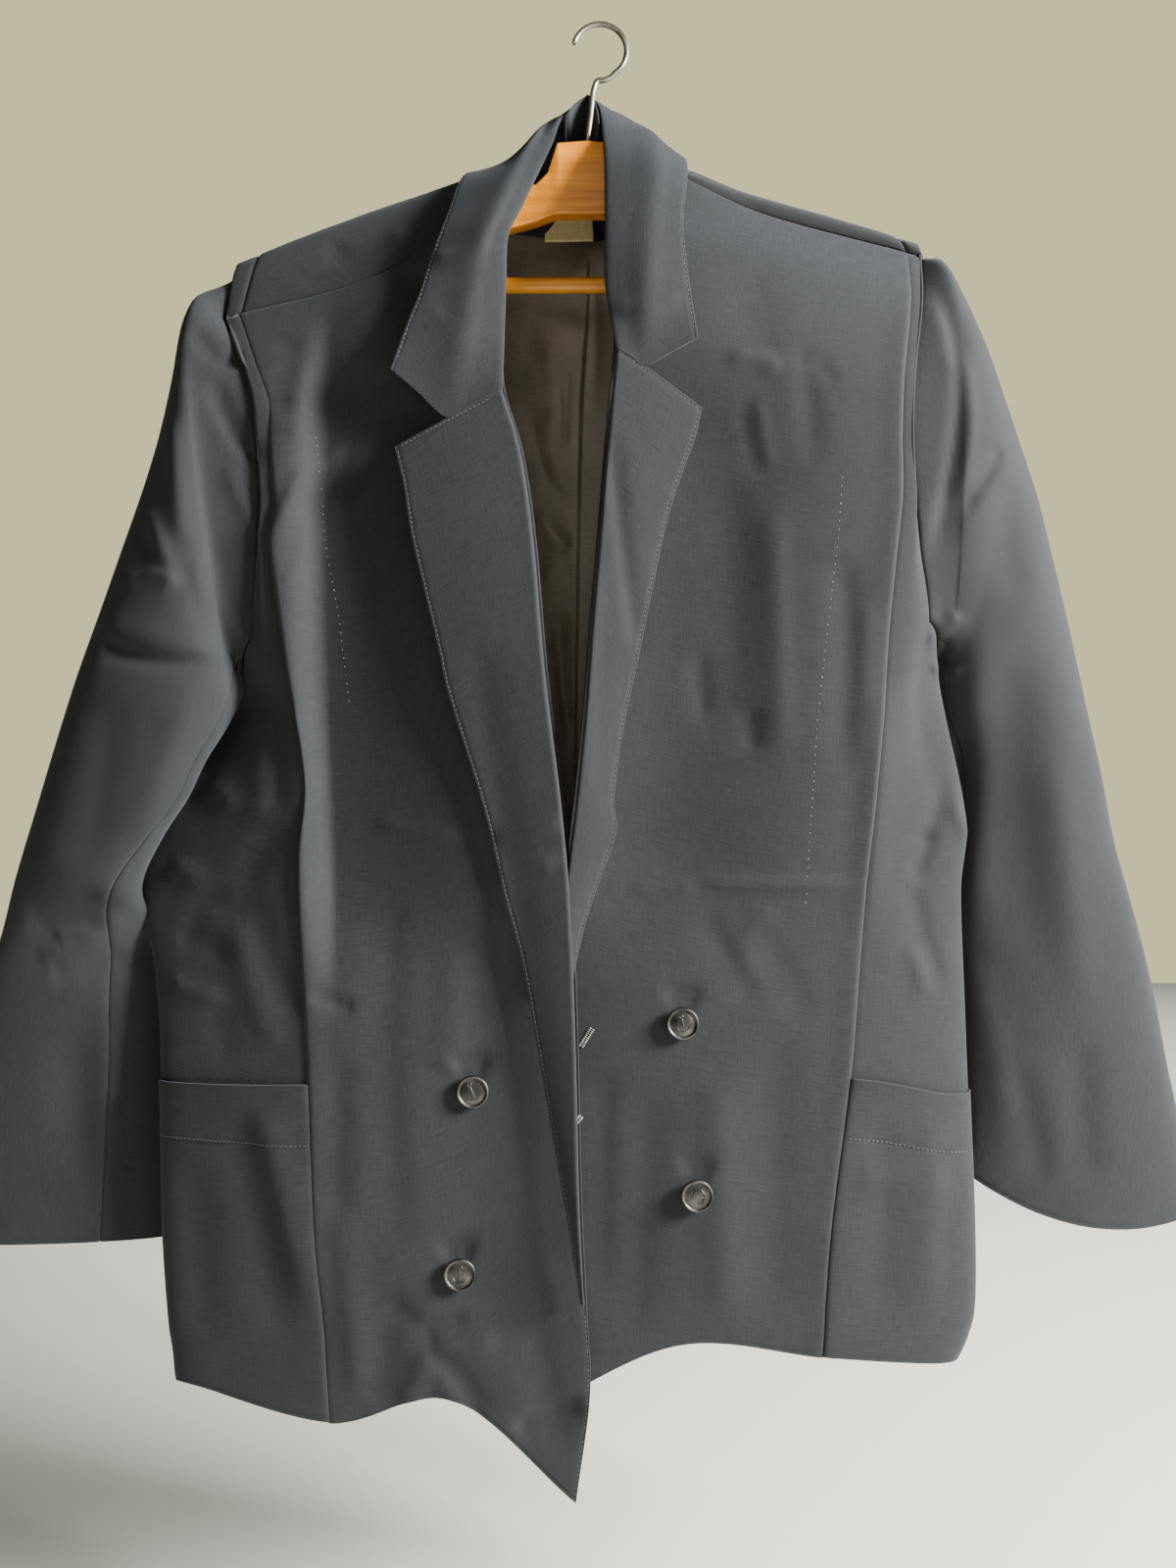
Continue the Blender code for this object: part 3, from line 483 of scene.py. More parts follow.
# Creases seen from the front, as x, z at start, middle and end, half widths on the two sides of the
# line, and height: a ridge is above nought and a trough below it
FRONT_CREASES = (
    (-178, -147, -169, -156, -165, -164, 4, 6, -1.3),
    (-137, -138, -121, -149, -101, -151, 4, 7, 2.6),
    (-141, -169, -150, -199, -175, -242, 16, 18, 1.3),
    (-263, -210, -253, -222, -244, -234, 6, 4, -1.9),
    (-246, -234, -236, -230, -230, -223, 4, 4, -2.0),
    (-248, -241, -236, -274, -210, -303, 8, 4, -2.5),
    (-235, -297, -231, -314, -215, -347, 5, 5, 1.2),
    (-251, -354, -244, -387, -223, -416, 6, 6, 1.6),
    (-206, -356, -188, -306, -161, -285, 4, 7, 2.2),
    (-199, -371, -180, -319, -155, -292, 7, 5, -1.6),
    (-174, -323, -151, -297, -130, -267, 5, 6, -1.7),
    (-193, -211, -198, -242, -206, -273, 8, 12, -1.4),
    (-149, -520, -119, -529, -84, -531, 3, 5, 1.4),
    (-184, -632, -169, -638, -154, -643, 3, 5, -2.2),
    (-133, -562, -136, -675, -127, -815, 12, 18, -1.8),
    (-95, -587, -93, -655, -97, -685, 12, 14, 1.8),
    (-165, -661, -167, -722, -169, -778, 10, 12, -1.2),
    (-58, -655, -52, -735, -39, -815, 16, 18, -1.3),
    (-93, -683, -82, -678, -71, -683, 9, 7, -2.6),
    (-101, -800, -91, -795, -80, -800, 9, 7, -2.6),
    (41, -640, 51, -635, 62, -640, 8, 7, -2.0),
    (51, -748, 61, -743, 70, -748, 8, 7, -2.0),
    (-139, -809, -137, -858, -148, -899, 14, 14, -1.9),
    (-166, -765, -159, -833, -153, -895, 12, 8, 1.8),
    (-137, -827, -117, -841, -103, -862, 5, 9, -1.2),
    (-106, -855, -116, -876, -127, -896, 10, 6, 1.4),
    (-111, -855, -91, -875, -72, -901, 9, 5, -1.6),
    (-109, -857, -88, -855, -63, -849, 4, 9, 1.8),
    (-114, -849, -101, -841, -82, -838, 5, 6, -1.4),
    (-103, -869, -97, -883, -93, -896, 7, 6, 1.0),
    (-58, -907, -33, -897, -8, -889, 6, 9, -3.0),
    (-45, -833, -36, -876, -21, -926, 12, 14, -1.6),
    (-207, -433, -206, -482, -204, -529, 5, 9, -2.5),
    (-220, -439, -217, -488, -219, -531, 9, 7, 1.8),
    (-255, -498, -244, -506, -233, -518, 5, 7, 3.0),
    (-284, -554, -267, -556, -257, -567, 4, 7, 3.2),
    (-258, -568, -258, -581, -270, -592, 5, 5, -1.4),
    (-251, -568, -241, -579, -233, -581, 5, 4, -2.6),
    (-234, -582, -229, -576, -225, -563, 4, 5, -1.4),
    (-203, -525, -217, -548, -230, -570, 6, 9, -2.0),
    (-228, -565, -210, -605, -186, -652, 6, 8, -2.0),
    (-233, -584, -224, -628, -203, -673, 7, 6, 1.9),
    (-281, -625, -262, -633, -241, -634, 5, 6, 2.6),
    (-276, -599, -255, -602, -235, -615, 6, 8, -2.4),
    (-252, -642, -241, -661, -246, -679, 7, 7, -1.2),
    (-217, -700, -203, -757, -180, -843, 14, 10, 2.6),
    (-230, -710, -217, -772, -199, -870, 12, 14, -1.6),
    (-261, -735, -257, -802, -255, -864, 14, 14, -1.3),
    (-270, -265, -266, -307, -260, -356, 7, 7, 2.8),
    (-279, -291, -286, -340, -292, -384, 9, 10, -1.8),
    (-307, -377, -279, -370, -261, -380, 4, 8, 3.0),
    (-288, -321, -275, -351, -261, -380, 5, 6, 1.8),
    (-316, -409, -278, -423, -222, -425, 4, 8, -4.0),
    (-319, -398, -276, -411, -223, -416, 12, 6, 2.4),
    (-321, -411, -314, -422, -324, -446, 8, 8, 0.8),
    (-304, -439, -311, -501, -329, -562, 14, 16, -1.8),
    (-255, -439, -270, -494, -292, -544, 12, 12, 1.8),
    (-235, -439, -252, -476, -276, -525, 8, 8, -1.8),
    (-366, -613, -331, -602, -305, -581, 8, 14, 3.0),
    (-360, -624, -335, -620, -307, -608, 12, 8, -2.2),
    (-353, -599, -337, -596, -321, -604, 5, 8, 1.4),
    (-369, -587, -341, -583, -311, -567, 9, 12, -2.0),
    (-347, -661, -346, -716, -341, -772, 14, 14, -1.6),
    (-323, -630, -326, -685, -324, -747, 9, 10, 1.4),
    (-292, -630, -293, -685, -291, -759, 9, 10, -1.4),
    (-70, -536, -45, -529, -22, -523, 4, 6, 1.6),
    (-68, -556, -50, -550, -23, -546, 4, 6, 1.5),
    (-101, -211, -88, -193, -70, -156, 10, 12, -0.7),
    (-107, -169, -88, -169, -66, -159, 4, 7, 1.2),
    (-82, -402, -64, -501, -42, -624, 14, 10, -1.1),
    (53, -193, 29, -205, 4, -202, 5, 7, 1.4),
    (5, -273, 13, -353, 24, -424, 7, 5, -1.3),
    (-1, -353, -8, -439, -11, -525, 6, 8, 1.0),
    (75, -231, 100, -231, 112, -242, 4, 8, 1.6),
    (99, -254, 102, -279, 109, -303, 5, 7, 1.1),
    (91, -252, 95, -279, 102, -310, 9, 6, -0.8),
    (126, -220, 130, -253, 135, -303, 8, 8, -1.0),
    (136, -231, 141, -239, 148, -252, 5, 7, -0.7),
    (90, -162, 99, -211, 102, -267, 16, 20, -1.2),
    (81, -297, 84, -390, 81, -488, 14, 20, -1.4),
    (109, -316, 112, -402, 115, -501, 8, 10, 1.2),
    (149, -353, 157, -414, 153, -501, 9, 12, -1.6),
    (167, -377, 165, -433, 160, -494, 8, 9, 1.3),
    (63, -414, 64, -439, 67, -464, 6, 8, -1.2),
    (93, -451, 96, -465, 95, -482, 6, 8, -1.2),
    (53, -560, 109, -564, 167, -562, 3, 5, 1.6),
    (16, -565, 41, -567, 61, -562, 3, 5, 1.2),
    (63, -581, 80, -608, 100, -642, 6, 12, -1.0),
    (110, -575, 95, -599, 85, -629, 10, 9, 0.8),
    (93, -589, 115, -618, 132, -655, 9, 14, -0.8),
    (29, -685, 25, -765, 16, -858, 14, 16, -1.8),
    (72, -673, 75, -759, 78, -852, 12, 14, 1.7),
    (109, -648, 109, -747, 106, -858, 16, 16, -1.7),
    (1, -673, 1, -747, -1, -852, 9, 12, -1.3),
    (179, -433, 176, -501, 170, -599, 8, 10, 1.4),
    (204, -526, 207, -547, 197, -562, 6, 8, -1.6),
    (197, -605, 202, -619, 209, -637, 5, 4, 1.8),
    (204, -451, 200, -525, 195, -624, 14, 16, -1.7),
    (223, -494, 215, -519, 207, -544, 6, 8, -1.6),
    (201, -562, 207, -599, 224, -636, 6, 8, -1.4),
    (158, -747, 189, -753, 229, -750, 10, 12, 1.8),
    (179, -710, 178, -765, 176, -858, 12, 14, -1.4),
    (213, -704, 210, -772, 207, -852, 10, 12, 1.3),
    (213, -175, 228, -254, 207, -368, 10, 5, -3.6),
    (228, -217, 233, -273, 222, -326, 6, 9, 3.0),
    (257, -283, 245, -305, 227, -332, 4, 7, -1.9),
    (263, -303, 259, -340, 269, -390, 12, 14, -1.6),
    (206, -407, 220, -402, 229, -388, 4, 6, 2.8),
    (211, -428, 222, -425, 233, -434, 4, 6, 2.6),
    (228, -506, 233, -526, 242, -534, 4, 6, 1.8),
    (238, -377, 242, -488, 243, -624, 16, 20, 3.6),
    (268, -414, 272, -513, 286, -630, 18, 20, -2.2),
    (293, -476, 306, -562, 318, -661, 14, 16, 1.6),
    (244, -611, 256, -661, 275, -735, 12, 12, 1.4),
    (312, -661, 318, -716, 324, -772, 12, 14, -1.4),
    (269, -685, 284, -722, 293, -772, 10, 12, -1.3),
)
# The same for the back of the jacket
BACK_CREASES = (
    (-90, -140, -70, -180, -30, -205, 12, 16, 3.0),
    (60, -135, 42, -175, 12, -205, 12, 16, 2.6),
    (-180, -200, -150, -300, -140, -420, 18, 24, 3.2),
    (150, -190, 130, -300, 128, -430, 18, 22, 2.8),
    (-60, -230, -66, -380, -52, -560, 22, 26, -3.0),
    (48, -240, 56, -400, 50, -600, 22, 26, -2.8),
    (-210, -470, -150, -500, -90, -540, 12, 18, 3.0),
    (190, -470, 140, -505, 84, -540, 12, 18, 2.8),
    (-120, -560, -60, -580, 10, -574, 10, 16, 2.2),
    (20, -600, 80, -592, 140, -610, 10, 14, 2.0),
    (-190, -600, -176, -720, -184, -860, 20, 22, 3.4),
    (-100, -620, -104, -740, -96, -860, 18, 24, 3.0),
    (-14, -610, -10, -740, -16, -855, 16, 20, 2.6),
    (80, -620, 86, -740, 78, -850, 18, 22, 3.0),
    (160, -600, 166, -720, 156, -850, 18, 20, 2.8),
    (-150, -640, -146, -760, -150, -860, 14, 16, -2.4),
    (36, -640, 32, -760, 38, -850, 14, 16, -2.4),
    (-300, -330, -270, -350, -244, -380, 8, 12, 3.0),
    (-330, -470, -300, -480, -264, -500, 8, 12, 3.0),
    (-380, -600, -340, -590, -300, -610, 8, 12, 3.4),
    (-400, -690, -385, -750, -395, -820, 14, 16, 2.4),
    (-330, -660, -335, -730, -325, -810, 12, 14, -2.2),
    (286, -320, 262, -350, 240, -380, 8, 12, 2.8),
    (320, -470, 290, -480, 250, -500, 8, 12, 2.8),
    (350, -590, 310, -590, 250, -600, 8, 12, 3.0),
    (370, -650, 360, -720, 368, -790, 14, 16, 2.4),
    (290, -640, 296, -710, 288, -770, 12, 14, -2.0),
)
# Broad hollows of the two fronts where they fall back under the lapels
FRONT_HOLLOWS = (
    (-170, -186, -177, -402, -165, -661, 74, 10, -19.0),
    (-79, -562, -67, -704, -55, -889, 70, 56, -7.0),
    (58, -205, 38, -402, 16, -636, 70, 70, -14.0),
)


CREASE_STEPS = 12
CREASE_FADE = 0.22
# Cloth that faces straight forwards or back takes a crease whole, and one turned away takes less
FACING_GAIN = 1.6


def crease_field(x, z, creases):
    """Sum of height * exp(-(distance / half width)^2) over curved lines, fading to nought at both ends."""
    total = np.zeros_like(x)
    for x0, z0, x1, z1, x2, z2, near, far, height in creases:
        reach = 3 * max(near, far)
        low_x, high_x = min(x0, x1, x2) - reach, max(x0, x1, x2) + reach
        low_z, high_z = min(z0, z1, z2) - reach, max(z0, z1, z2) + reach
        inside = (x > low_x) & (x < high_x) & (z > low_z) & (z < high_z)
        if not inside.any():
            continue
        px, pz = x[inside], z[inside]
        t = np.linspace(0, 1, CREASE_STEPS + 1)
        line_x = (1 - t) * (1 - 2 * t) * x0 + 4 * t * (1 - t) * x1 + t * (2 * t - 1) * x2
        line_z = (1 - t) * (1 - 2 * t) * z0 + 4 * t * (1 - t) * z1 + t * (2 * t - 1) * z2
        run_x, run_z = np.diff(line_x), np.diff(line_z)
        length = run_x**2 + run_z**2
        off_x, off_z = px[:, None] - line_x[:-1], pz[:, None] - line_z[:-1]
        share = np.clip((off_x * run_x + off_z * run_z) / length, 0, 1)
        gap = (off_x - share * run_x) ** 2 + (off_z - share * run_z) ** 2
        nearest = np.argmin(gap, axis=1)
        pick = np.arange(len(px))
        along = (nearest + share[pick, nearest]) / CREASE_STEPS
        side = run_x[nearest] * off_z[pick, nearest] - run_z[nearest] * off_x[pick, nearest]
        width = np.where(side > 0, near, far)
        fade = np.clip(np.minimum(along, 1 - along) / CREASE_FADE, 0, 1)
        fade = fade * fade * (3 - 2 * fade)
        total[inside] += height * fade * np.exp(-gap[pick, nearest] / width**2)
    return total


def creased(points):
    """Cloth that faces forwards moved out by the front creases, and cloth that faces back by the others."""
    facing = outward(points)[..., 1]
    x, z = points[..., 0], points[..., 2]
    points = points.copy()
    forwards = np.clip(-FACING_GAIN * facing, 0, 1)
    backwards = np.clip(FACING_GAIN * facing, 0, 1)
    points[..., 1] -= forwards * crease_field(x, z, FRONT_CREASES)
    points[..., 1] += backwards * crease_field(x, z, BACK_CREASES)
    return points


def arc(points, axis):
    """Distance along the grid from its first line, summed from point to point."""
    step = np.linalg.norm(np.diff(points, axis=axis), axis=2)
    first = np.zeros_like(np.take(step, [0], axis=axis))
    return np.concatenate([first, np.cumsum(step, axis=axis)], axis=axis)


def respaced(points, axis, insets_first, insets_last, count):
    """Lines of the grid slid along one direction: at set distances from each border, evenly between."""
    if axis == 0:
        return np.swapaxes(respaced(np.swapaxes(points, 0, 1), 1, insets_first, insets_last, count), 0, 1)
    distance = arc(points, 1)
    total = distance[:, -1:]
    first = np.minimum(np.array(insets_first, float), 0.3 * total)
    last = total - np.minimum(np.array(insets_last, float)[::-1], 0.3 * total)
    share = np.linspace(0, 1, count)[1:-1]
    wanted = np.concatenate([first, first[:, -1:] + share * (last[:, :1] - first[:, -1:]), last], axis=1)
    rows = [
        np.stack([np.interp(want, have, row[:, k]) for k in range(3)], axis=1)
        for want, have, row in zip(wanted, distance, points)
    ]
    return np.array(rows)


# Distances of the grid's first lines from a border
FINE = (0, 0.5, 1.1, 1.8, 2.6, 3.8)
SEAM_SINK = 1.1
SEAM_SINK_WIDTH = 1.4
GROOVE_DEPTH = 0.4
GROOVE_FROM_EDGE = 1.9
GROOVE_WIDTH = 0.75


def bordered(points, sunk=(), pressed=()):
    """Borders turned in: seams sink by depth * exp(-d / width), pressed ones have a groove for stitches."""
    distance = {
        "first": arc(points, 1), "last": arc(points, 1)[:, -1:] - arc(points, 1),
        "top": arc(points, 0), "bottom": arc(points, 0)[-1:] - arc(points, 0),
    }
    depth = np.zeros(points.shape[:2])
    for name in sunk:
        depth = depth + SEAM_SINK * np.exp(-distance[name] / SEAM_SINK_WIDTH)
    for name in pressed:
        groove = (distance[name] - GROOVE_FROM_EDGE) / GROOVE_WIDTH
        depth += GROOVE_DEPTH * np.exp(-(groove**2)) + 0.35 * np.exp(-distance[name] / 0.5)
    return points - depth[..., None] * outward(points)


def lapped(points, border, over, rise):
    """A fold that laps over its neighbour: near the border the cloth is carried over * exp(-d / 3) past it
    and lifted by rise * exp(-(d / 10)^2)."""
    run = arc(points, 1)
    distance = run if border == "first" else run[:, -1:] - run
    step = points[:, 0] - points[:, 6] if border == "first" else points[:, -1] - points[:, -7]
    step /= np.linalg.norm(step, axis=1, keepdims=True)
    points = points + (over * np.exp(-distance / 3))[..., None] * step[:, None]
    points[..., 1] -= rise * np.exp(-((distance / 10) ** 2)) - 1.6 * np.exp(-distance / 0.6)
    return points


def sheet_mesh(name, points, look, thickness=CLOTH, keep=None):
    """A grid as a thin shell, with a UV map that runs in metres across and down the cloth."""
    rows, columns = points.shape[:2]
    corner = np.arange(rows * columns).reshape(rows, columns)
    faces = np.stack([corner[:-1, :-1], corner[:-1, 1:], corner[1:, 1:], corner[1:, :-1]], axis=-1)
    faces = faces[keep] if keep is not None else faces.reshape(-1, 4)
    across = arc(points, 1) - arc(points, 1)[:, columns // 2:columns // 2 + 1]
    down = arc(points, 0)
    used, faces = np.unique(faces, return_inverse=True)
    faces = faces.reshape(-1, 4)
    made = as_mesh(name, points.reshape(-1, 3)[used], faces.tolist(), look)
    layer = made.data.uv_layers.new(name="Cloth")
    flat = np.stack([across.ravel()[used], -down.ravel()[used]], axis=1) * MM
    layer.data.foreach_set("uv", flat[faces.ravel()].astype(np.float32).ravel())
    thick = made.modifiers.new("Cloth thickness", "SOLIDIFY")
    thick.thickness = thickness * MM
    thick.offset = -1
    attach(made, "root")
    return made


def woven_group():
    """Plain weave: the product of two sines, one along each thread, and thick threads as stretched noise."""
    group = new_group(
        "Woven cloth",
        (("Vector", "NodeSocketVector", None), ("Dark", "NodeSocketColor", (0.02, 0.025, 0.032, 1)),
         ("Light", "NodeSocketColor", (0.05, 0.06, 0.075, 1)), ("Thread", "NodeSocketFloat", 0.00055),
         ("Slub", "NodeSocketFloat", 0.75), ("Smooth", "NodeSocketFloat", 0.7),
         ("Rough", "NodeSocketFloat", 0.95)),
        (("Color", "NodeSocketColor"), ("Roughness", "NodeSocketFloat"), ("Height", "NodeSocketFloat")),
    )
    add, link = node_kit(group)
    source = add("NodeGroupInput", (-1300, 0))
    result = add("NodeGroupOutput", (900, 0))
    split = add("ShaderNodeSeparateXYZ", (-1100, 300))
    link(source.outputs["Vector"], split.inputs[0])
    turn = add("ShaderNodeMath", (-1100, 500), {0: 2 * np.pi}, operation="DIVIDE")
    link(source.outputs["Thread"], turn.inputs[1])
    waves = []
    for axis in (0, 1):
        angle = add("ShaderNodeMath", (-900, 400 - 150 * axis), operation="MULTIPLY")
        wave = add("ShaderNodeMath", (-700, 400 - 150 * axis), operation="SINE")
        link(split.outputs[axis], angle.inputs[0])
        link(turn.outputs[0], angle.inputs[1])
        link(angle.outputs[0], wave.inputs[0])
        waves.append(wave)
    weave = add("ShaderNodeMath", (-500, 350), operation="MULTIPLY")
    link(waves[0].outputs[0], weave.inputs[0])
    link(waves[1].outputs[0], weave.inputs[1])
    slubs = []
    for place, scale in ((0, (1500, 70, 1)), (-200, (70, 1500, 1))):
        stretch = add("ShaderNodeMapping", (-900, place), {"Scale": scale})
        noise = add("ShaderNodeTexNoise", (-700, place), {"Scale": 1.0, "Detail": 2}, noise_dimensions="2D")
        link(source.outputs["Vector"], stretch.inputs["Vector"])
        link(stretch.outputs["Vector"], noise.inputs["Vector"])
        slubs.append(noise)
    both = add("ShaderNodeMath", (-500, -50), operation="ADD")
    link(slubs[0].outputs["Fac"], both.inputs[0])
    link(slubs[1].outputs["Fac"], both.inputs[1])
    thick = add("ShaderNodeMapRange", (-300, -50), {"From Min": 0.7, "From Max": 1.3})
    link(both.outputs[0], thick.inputs["Value"])
    cloud = add("ShaderNodeTexNoise", (-700, -450), {"Scale": 14, "Detail": 5}, noise_dimensions="2D")
    link(source.outputs["Vector"], cloud.inputs["Vector"])
    faded = add("ShaderNodeMapRange", (-500, -450), {"From Min": 0.1, "From Max": 0.9})
    link(cloud.outputs["Fac"], faded.inputs["Value"])
    tone = add("ShaderNodeMix", (-100, -150), data_type="FLOAT")
    link(source.outputs["Slub"], tone.inputs[0])
    link(faded.outputs["Result"], tone.inputs[2])
    link(thick.outputs["Result"], tone.inputs[3])
    colour = add("ShaderNodeMix", (300, 150), data_type="RGBA")
    link(tone.outputs[0], colour.inputs["Factor"])
    link(source.outputs["Dark"], colour.inputs[6])
    link(source.outputs["Light"], colour.inputs[7])
    rough = add("ShaderNodeMix", (300, -150), data_type="FLOAT")
    link(thick.outputs["Result"], rough.inputs[0])
    link(source.outputs["Smooth"], rough.inputs[2])
    link(source.outputs["Rough"], rough.inputs[3])
    height = add("ShaderNodeMath", (300, -400), {1: 0.35}, operation="MULTIPLY_ADD")
    link(weave.outputs[0], height.inputs[0])
    link(thick.outputs["Result"], height.inputs[2])
    link(colour.outputs[2], result.inputs["Color"])
    link(rough.outputs[0], result.inputs["Roughness"])
    link(height.outputs[0], result.inputs["Height"])
    return group


woven = woven_group()


def navy_pattern(tree):
    return group_node(tree, woven, (0, 0), Dark=(0.0145, 0.0158, 0.0182, 1), Light=(0.031, 0.0335, 0.0375, 1))


navy_cloth = finish_material("Navy wool-mix cloth", navy_pattern, "UV", 0.25, 0.0003, Sheen_Weight=0.09,
                             Sheen_Roughness=0.5, Specular_IOR_Level=0.15)
navy_cloth.node_tree.nodes["Principled BSDF"].inputs["Sheen Tint"].default_value = (0.75, 0.85, 1.0, 1)


def cloth_sheet(
    name, node, points, look=navy_cloth, thickness=CLOTH, keep=None
):
    """A grid as a shell of cloth in place of its solid."""
    made = sheet_mesh(name, points, look, thickness, keep)
    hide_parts(node)


ROW_COUNT = 222
FRONT_COLUMN_COUNT = 64
BACK_COLUMN_COUNT = 95
# Lines set close together at the side panel's seams and folds, and at its underarm and hem
SIDE_CLOSE_LINES = (2.01, 2.02, 2.04, 2.07, 2.97, 2.985, 5.015, 5.03, 5.93, 5.96, 5.98, 5.99)
SIDE_CLOSE_ROWS = (6.0, 6.01, 6.03, 14.97, 14.985)
# How far each front laps over its side panel, and how far it stands off it by depth below the origin
SEAM_LAP = {RIGHT: 2.6, LEFT: 1.4}
SEAM_LIFT = {
    RIGHT: ((190, 0), (250, 2.2), (370, 3.5), (430, 5.5), (500, 4.5), (620, 2.2), (820, 1.6), (900, 1.0)),
    LEFT: ((160, 0), (220, 1.4), (500, 1.2), (760, 1.2), (860, 0.8)),
}
panel_rows = np.linspace(0, HEM_ROW, 180)
fronts = {}
for word, side in (("right", RIGHT), ("left", LEFT)):
    lines = np.linspace(EDGE, SEAM_FRONT, 60)
    points = net(body, panel_rows, on_side(lines, side))
    shoulder_seam = net(body, 0, on_side(NECK - lines, side))[0]
    near_seam = np.clip(1 - panel_rows / 0.5, 0, 1)[:, None, None]
    points = points + near_seam * (shoulder_seam - points[0])
    points = respaced(respaced(points, 0, FINE, FINE, ROW_COUNT), 1, FINE, FINE, FRONT_COLUMN_COUNT)
    front_edge, seam = ("first", "last") if side == RIGHT else ("last", "first")
    points[..., 1] -= crease_field(points[..., 0], points[..., 2], FRONT_HOLLOWS)
    points = bordered(creased(points), sunk=("top",), pressed=(front_edge, "bottom"))
    lift = np.interp(-points[:, :1, 2], *np.array(SEAM_LIFT[side], float).T)
    points = lapped(points, seam, SEAM_LAP[side], lift)
    fronts[word] = points
    cloth_sheet(f"front_panel_{word}", f"front_{word}", points)

    lines = np.unique(np.concatenate([np.linspace(SEAM_FRONT, SEAM_BACK, 57), SIDE_CLOSE_LINES]))
    rows = np.unique(np.concatenate([np.linspace(0, HEM_ROW, ROW_COUNT), SIDE_CLOSE_ROWS]))
    middle_rows, middle_lines = 0.5 * (rows[1:] + rows[:-1]), 0.5 * (lines[1:] + lines[:-1])
    armhole = (middle_rows < UNDERARM_ROW)[:, None] & (np.abs(middle_lines - SIDE) < 1)[None]
    points = net(body, rows, on_side(lines, side))
    keep = ~armhole if side == RIGHT else ~armhole[:, ::-1]
    points = bordered(creased(points), sunk=("first", "last", "top"), pressed=("bottom",))
    cloth_sheet(f"side_panel_{word}", f"side_{word}", points, keep=keep)

points = net(body, panel_rows, np.linspace(SEAM_BACK, LAST_COLUMN - SEAM_BACK, 120))
points = respaced(respaced(points, 0, FINE, FINE, ROW_COUNT), 1, FINE, FINE, BACK_COLUMN_COUNT)
points = bordered(creased(points), sunk=("first", "last", "top"), pressed=("bottom",))
cloth_sheet("back_panel", "back", points)

# Back lining, neck facing and label
# The back is lined with brown-grey satin that has a pleat down its middle for movement.
# A band of the navy cloth faces the neck above it, with a blank woven label caught in its seam.

LINING_GAP = 1.9
FACING_GAP = 2.2
LINING_TOP_Z = -126.0
LINING_BOTTOM_Z = -868.0
LINING_ROW_COUNT = 180
FACING_BOTTOM_Z = -128.5
FACING_TOP_Z = -98.0
# Pleat's folded edge down the lining as z, x
PLEAT = ((-60, -8.0), (-175, -9.1), (-241, -13.8), (-352, -15.8), (-418, -17.1), (-620, -19), (-880, -21))
PLEAT_HEIGHT = 4.5
PLEAT_SLOPE = 26
PLEAT_EDGE = 1.2
LINING_CREASES = (
    (-59, -141, -38, -146, -10, -141, 5, 8, 1.6),
    (-61, -166, -35, -181, -11, -186, 6, 9, 1.8),
    (-55, -220, -35, -233, -15, -230, 6, 10, 2.2),
    (-52, -280, -38, -260, -18, -253, 6, 8, 2.2),
    (-49, -246, -38, -287, -19, -313, 5, 9, -2.0),
    (-43, -313, -34, -330, -18, -340, 6, 8, 2.2),
    (-38, -367, -31, -353, -18, -360, 5, 7, 1.8),
    (-38, -394, -31, -434, -26, -487, 5, 8, 2.4),
    (-25, -380, -28, -420, -20, -474, 5, 6, -2.0),
    (-35, -193, -31, -267, -34, -367, 9, 9, 1.6),
    (-8, -139, -4, -186, -6, -246, 5, 7, 1.5),
)


def satin_pattern(tree):
    return group_node(tree, woven, (0, 0), Dark=(0.06, 0.049, 0.038, 1), Light=(0.25, 0.21, 0.165, 1),
                      Thread=0.0003, Slub=0.35, Smooth=0.28, Rough=0.42)


def label_pattern(tree):
    return group_node(tree, woven, (0, 0), Dark=(0.72, 0.58, 0.24, 1), Light=(0.98, 0.88, 0.50, 1),
                      Thread=0.0006, Slub=0.6, Smooth=0.75, Rough=0.95)


lining_satin = finish_material("Brown-grey satin", satin_pattern, "UV", 0.12, 0.0002, Sheen_Weight=0.15,
                               Specular_IOR_Level=0.6)
label_cloth = finish_material("Cream label cloth", label_pattern, "UV", 0.3, 0.0003, Sheen_Weight=0.2)


def level_rows(columns, z):
    """Row of the body net at which each of its columns reaches a height, found below the neckline."""
    rows = np.linspace(1, HEM_ROW, 600)
    heights = net(body, rows, columns)[..., 2]
    return np.array([np.interp(-z, -np.minimum.accumulate(column), rows) for column in heights.T])


def inside_back(columns, top_z, bottom_z, gap, count):
    """The back's points moved inwards by a gap, between two level heights."""
    first, last = level_rows(columns, top_z), level_rows(columns, bottom_z)
    share = np.linspace(0, 1, count)[:, None]
    rows = first + share * (last - first)
    points = net_at(body, rows, np.repeat(columns[None], count, axis=0))
    return creased(points) - gap * outward(points)


# The grid is finest round the pleat
columns = (np.linspace(6.03, 8, 28), np.linspace(8, 9.6, 90)[1:], np.linspace(9.6, 11.97, 34)[1:])
columns = np.concatenate(columns)
points = inside_back(columns, LINING_TOP_Z, LINING_BOTTOM_Z, LINING_GAP, LINING_ROW_COUNT)
x, z = points[..., 0], points[..., 2]
pleat_x = np.interp(-z, [-height for height, _ in PLEAT], [place for _, place in PLEAT])
beside = x - pleat_x
pleat = np.where(beside < 0, np.exp(beside / PLEAT_SLOPE), np.clip(1 - beside / PLEAT_EDGE, 0, 1))
fade = np.clip((-134 - z) / 60, 0, 1)
points[..., 1] -= PLEAT_HEIGHT * fade * pleat + crease_field(x, z, LINING_CREASES)
cloth_sheet("back_lining_satin", "back_lining", points, lining_satin, 0.4)

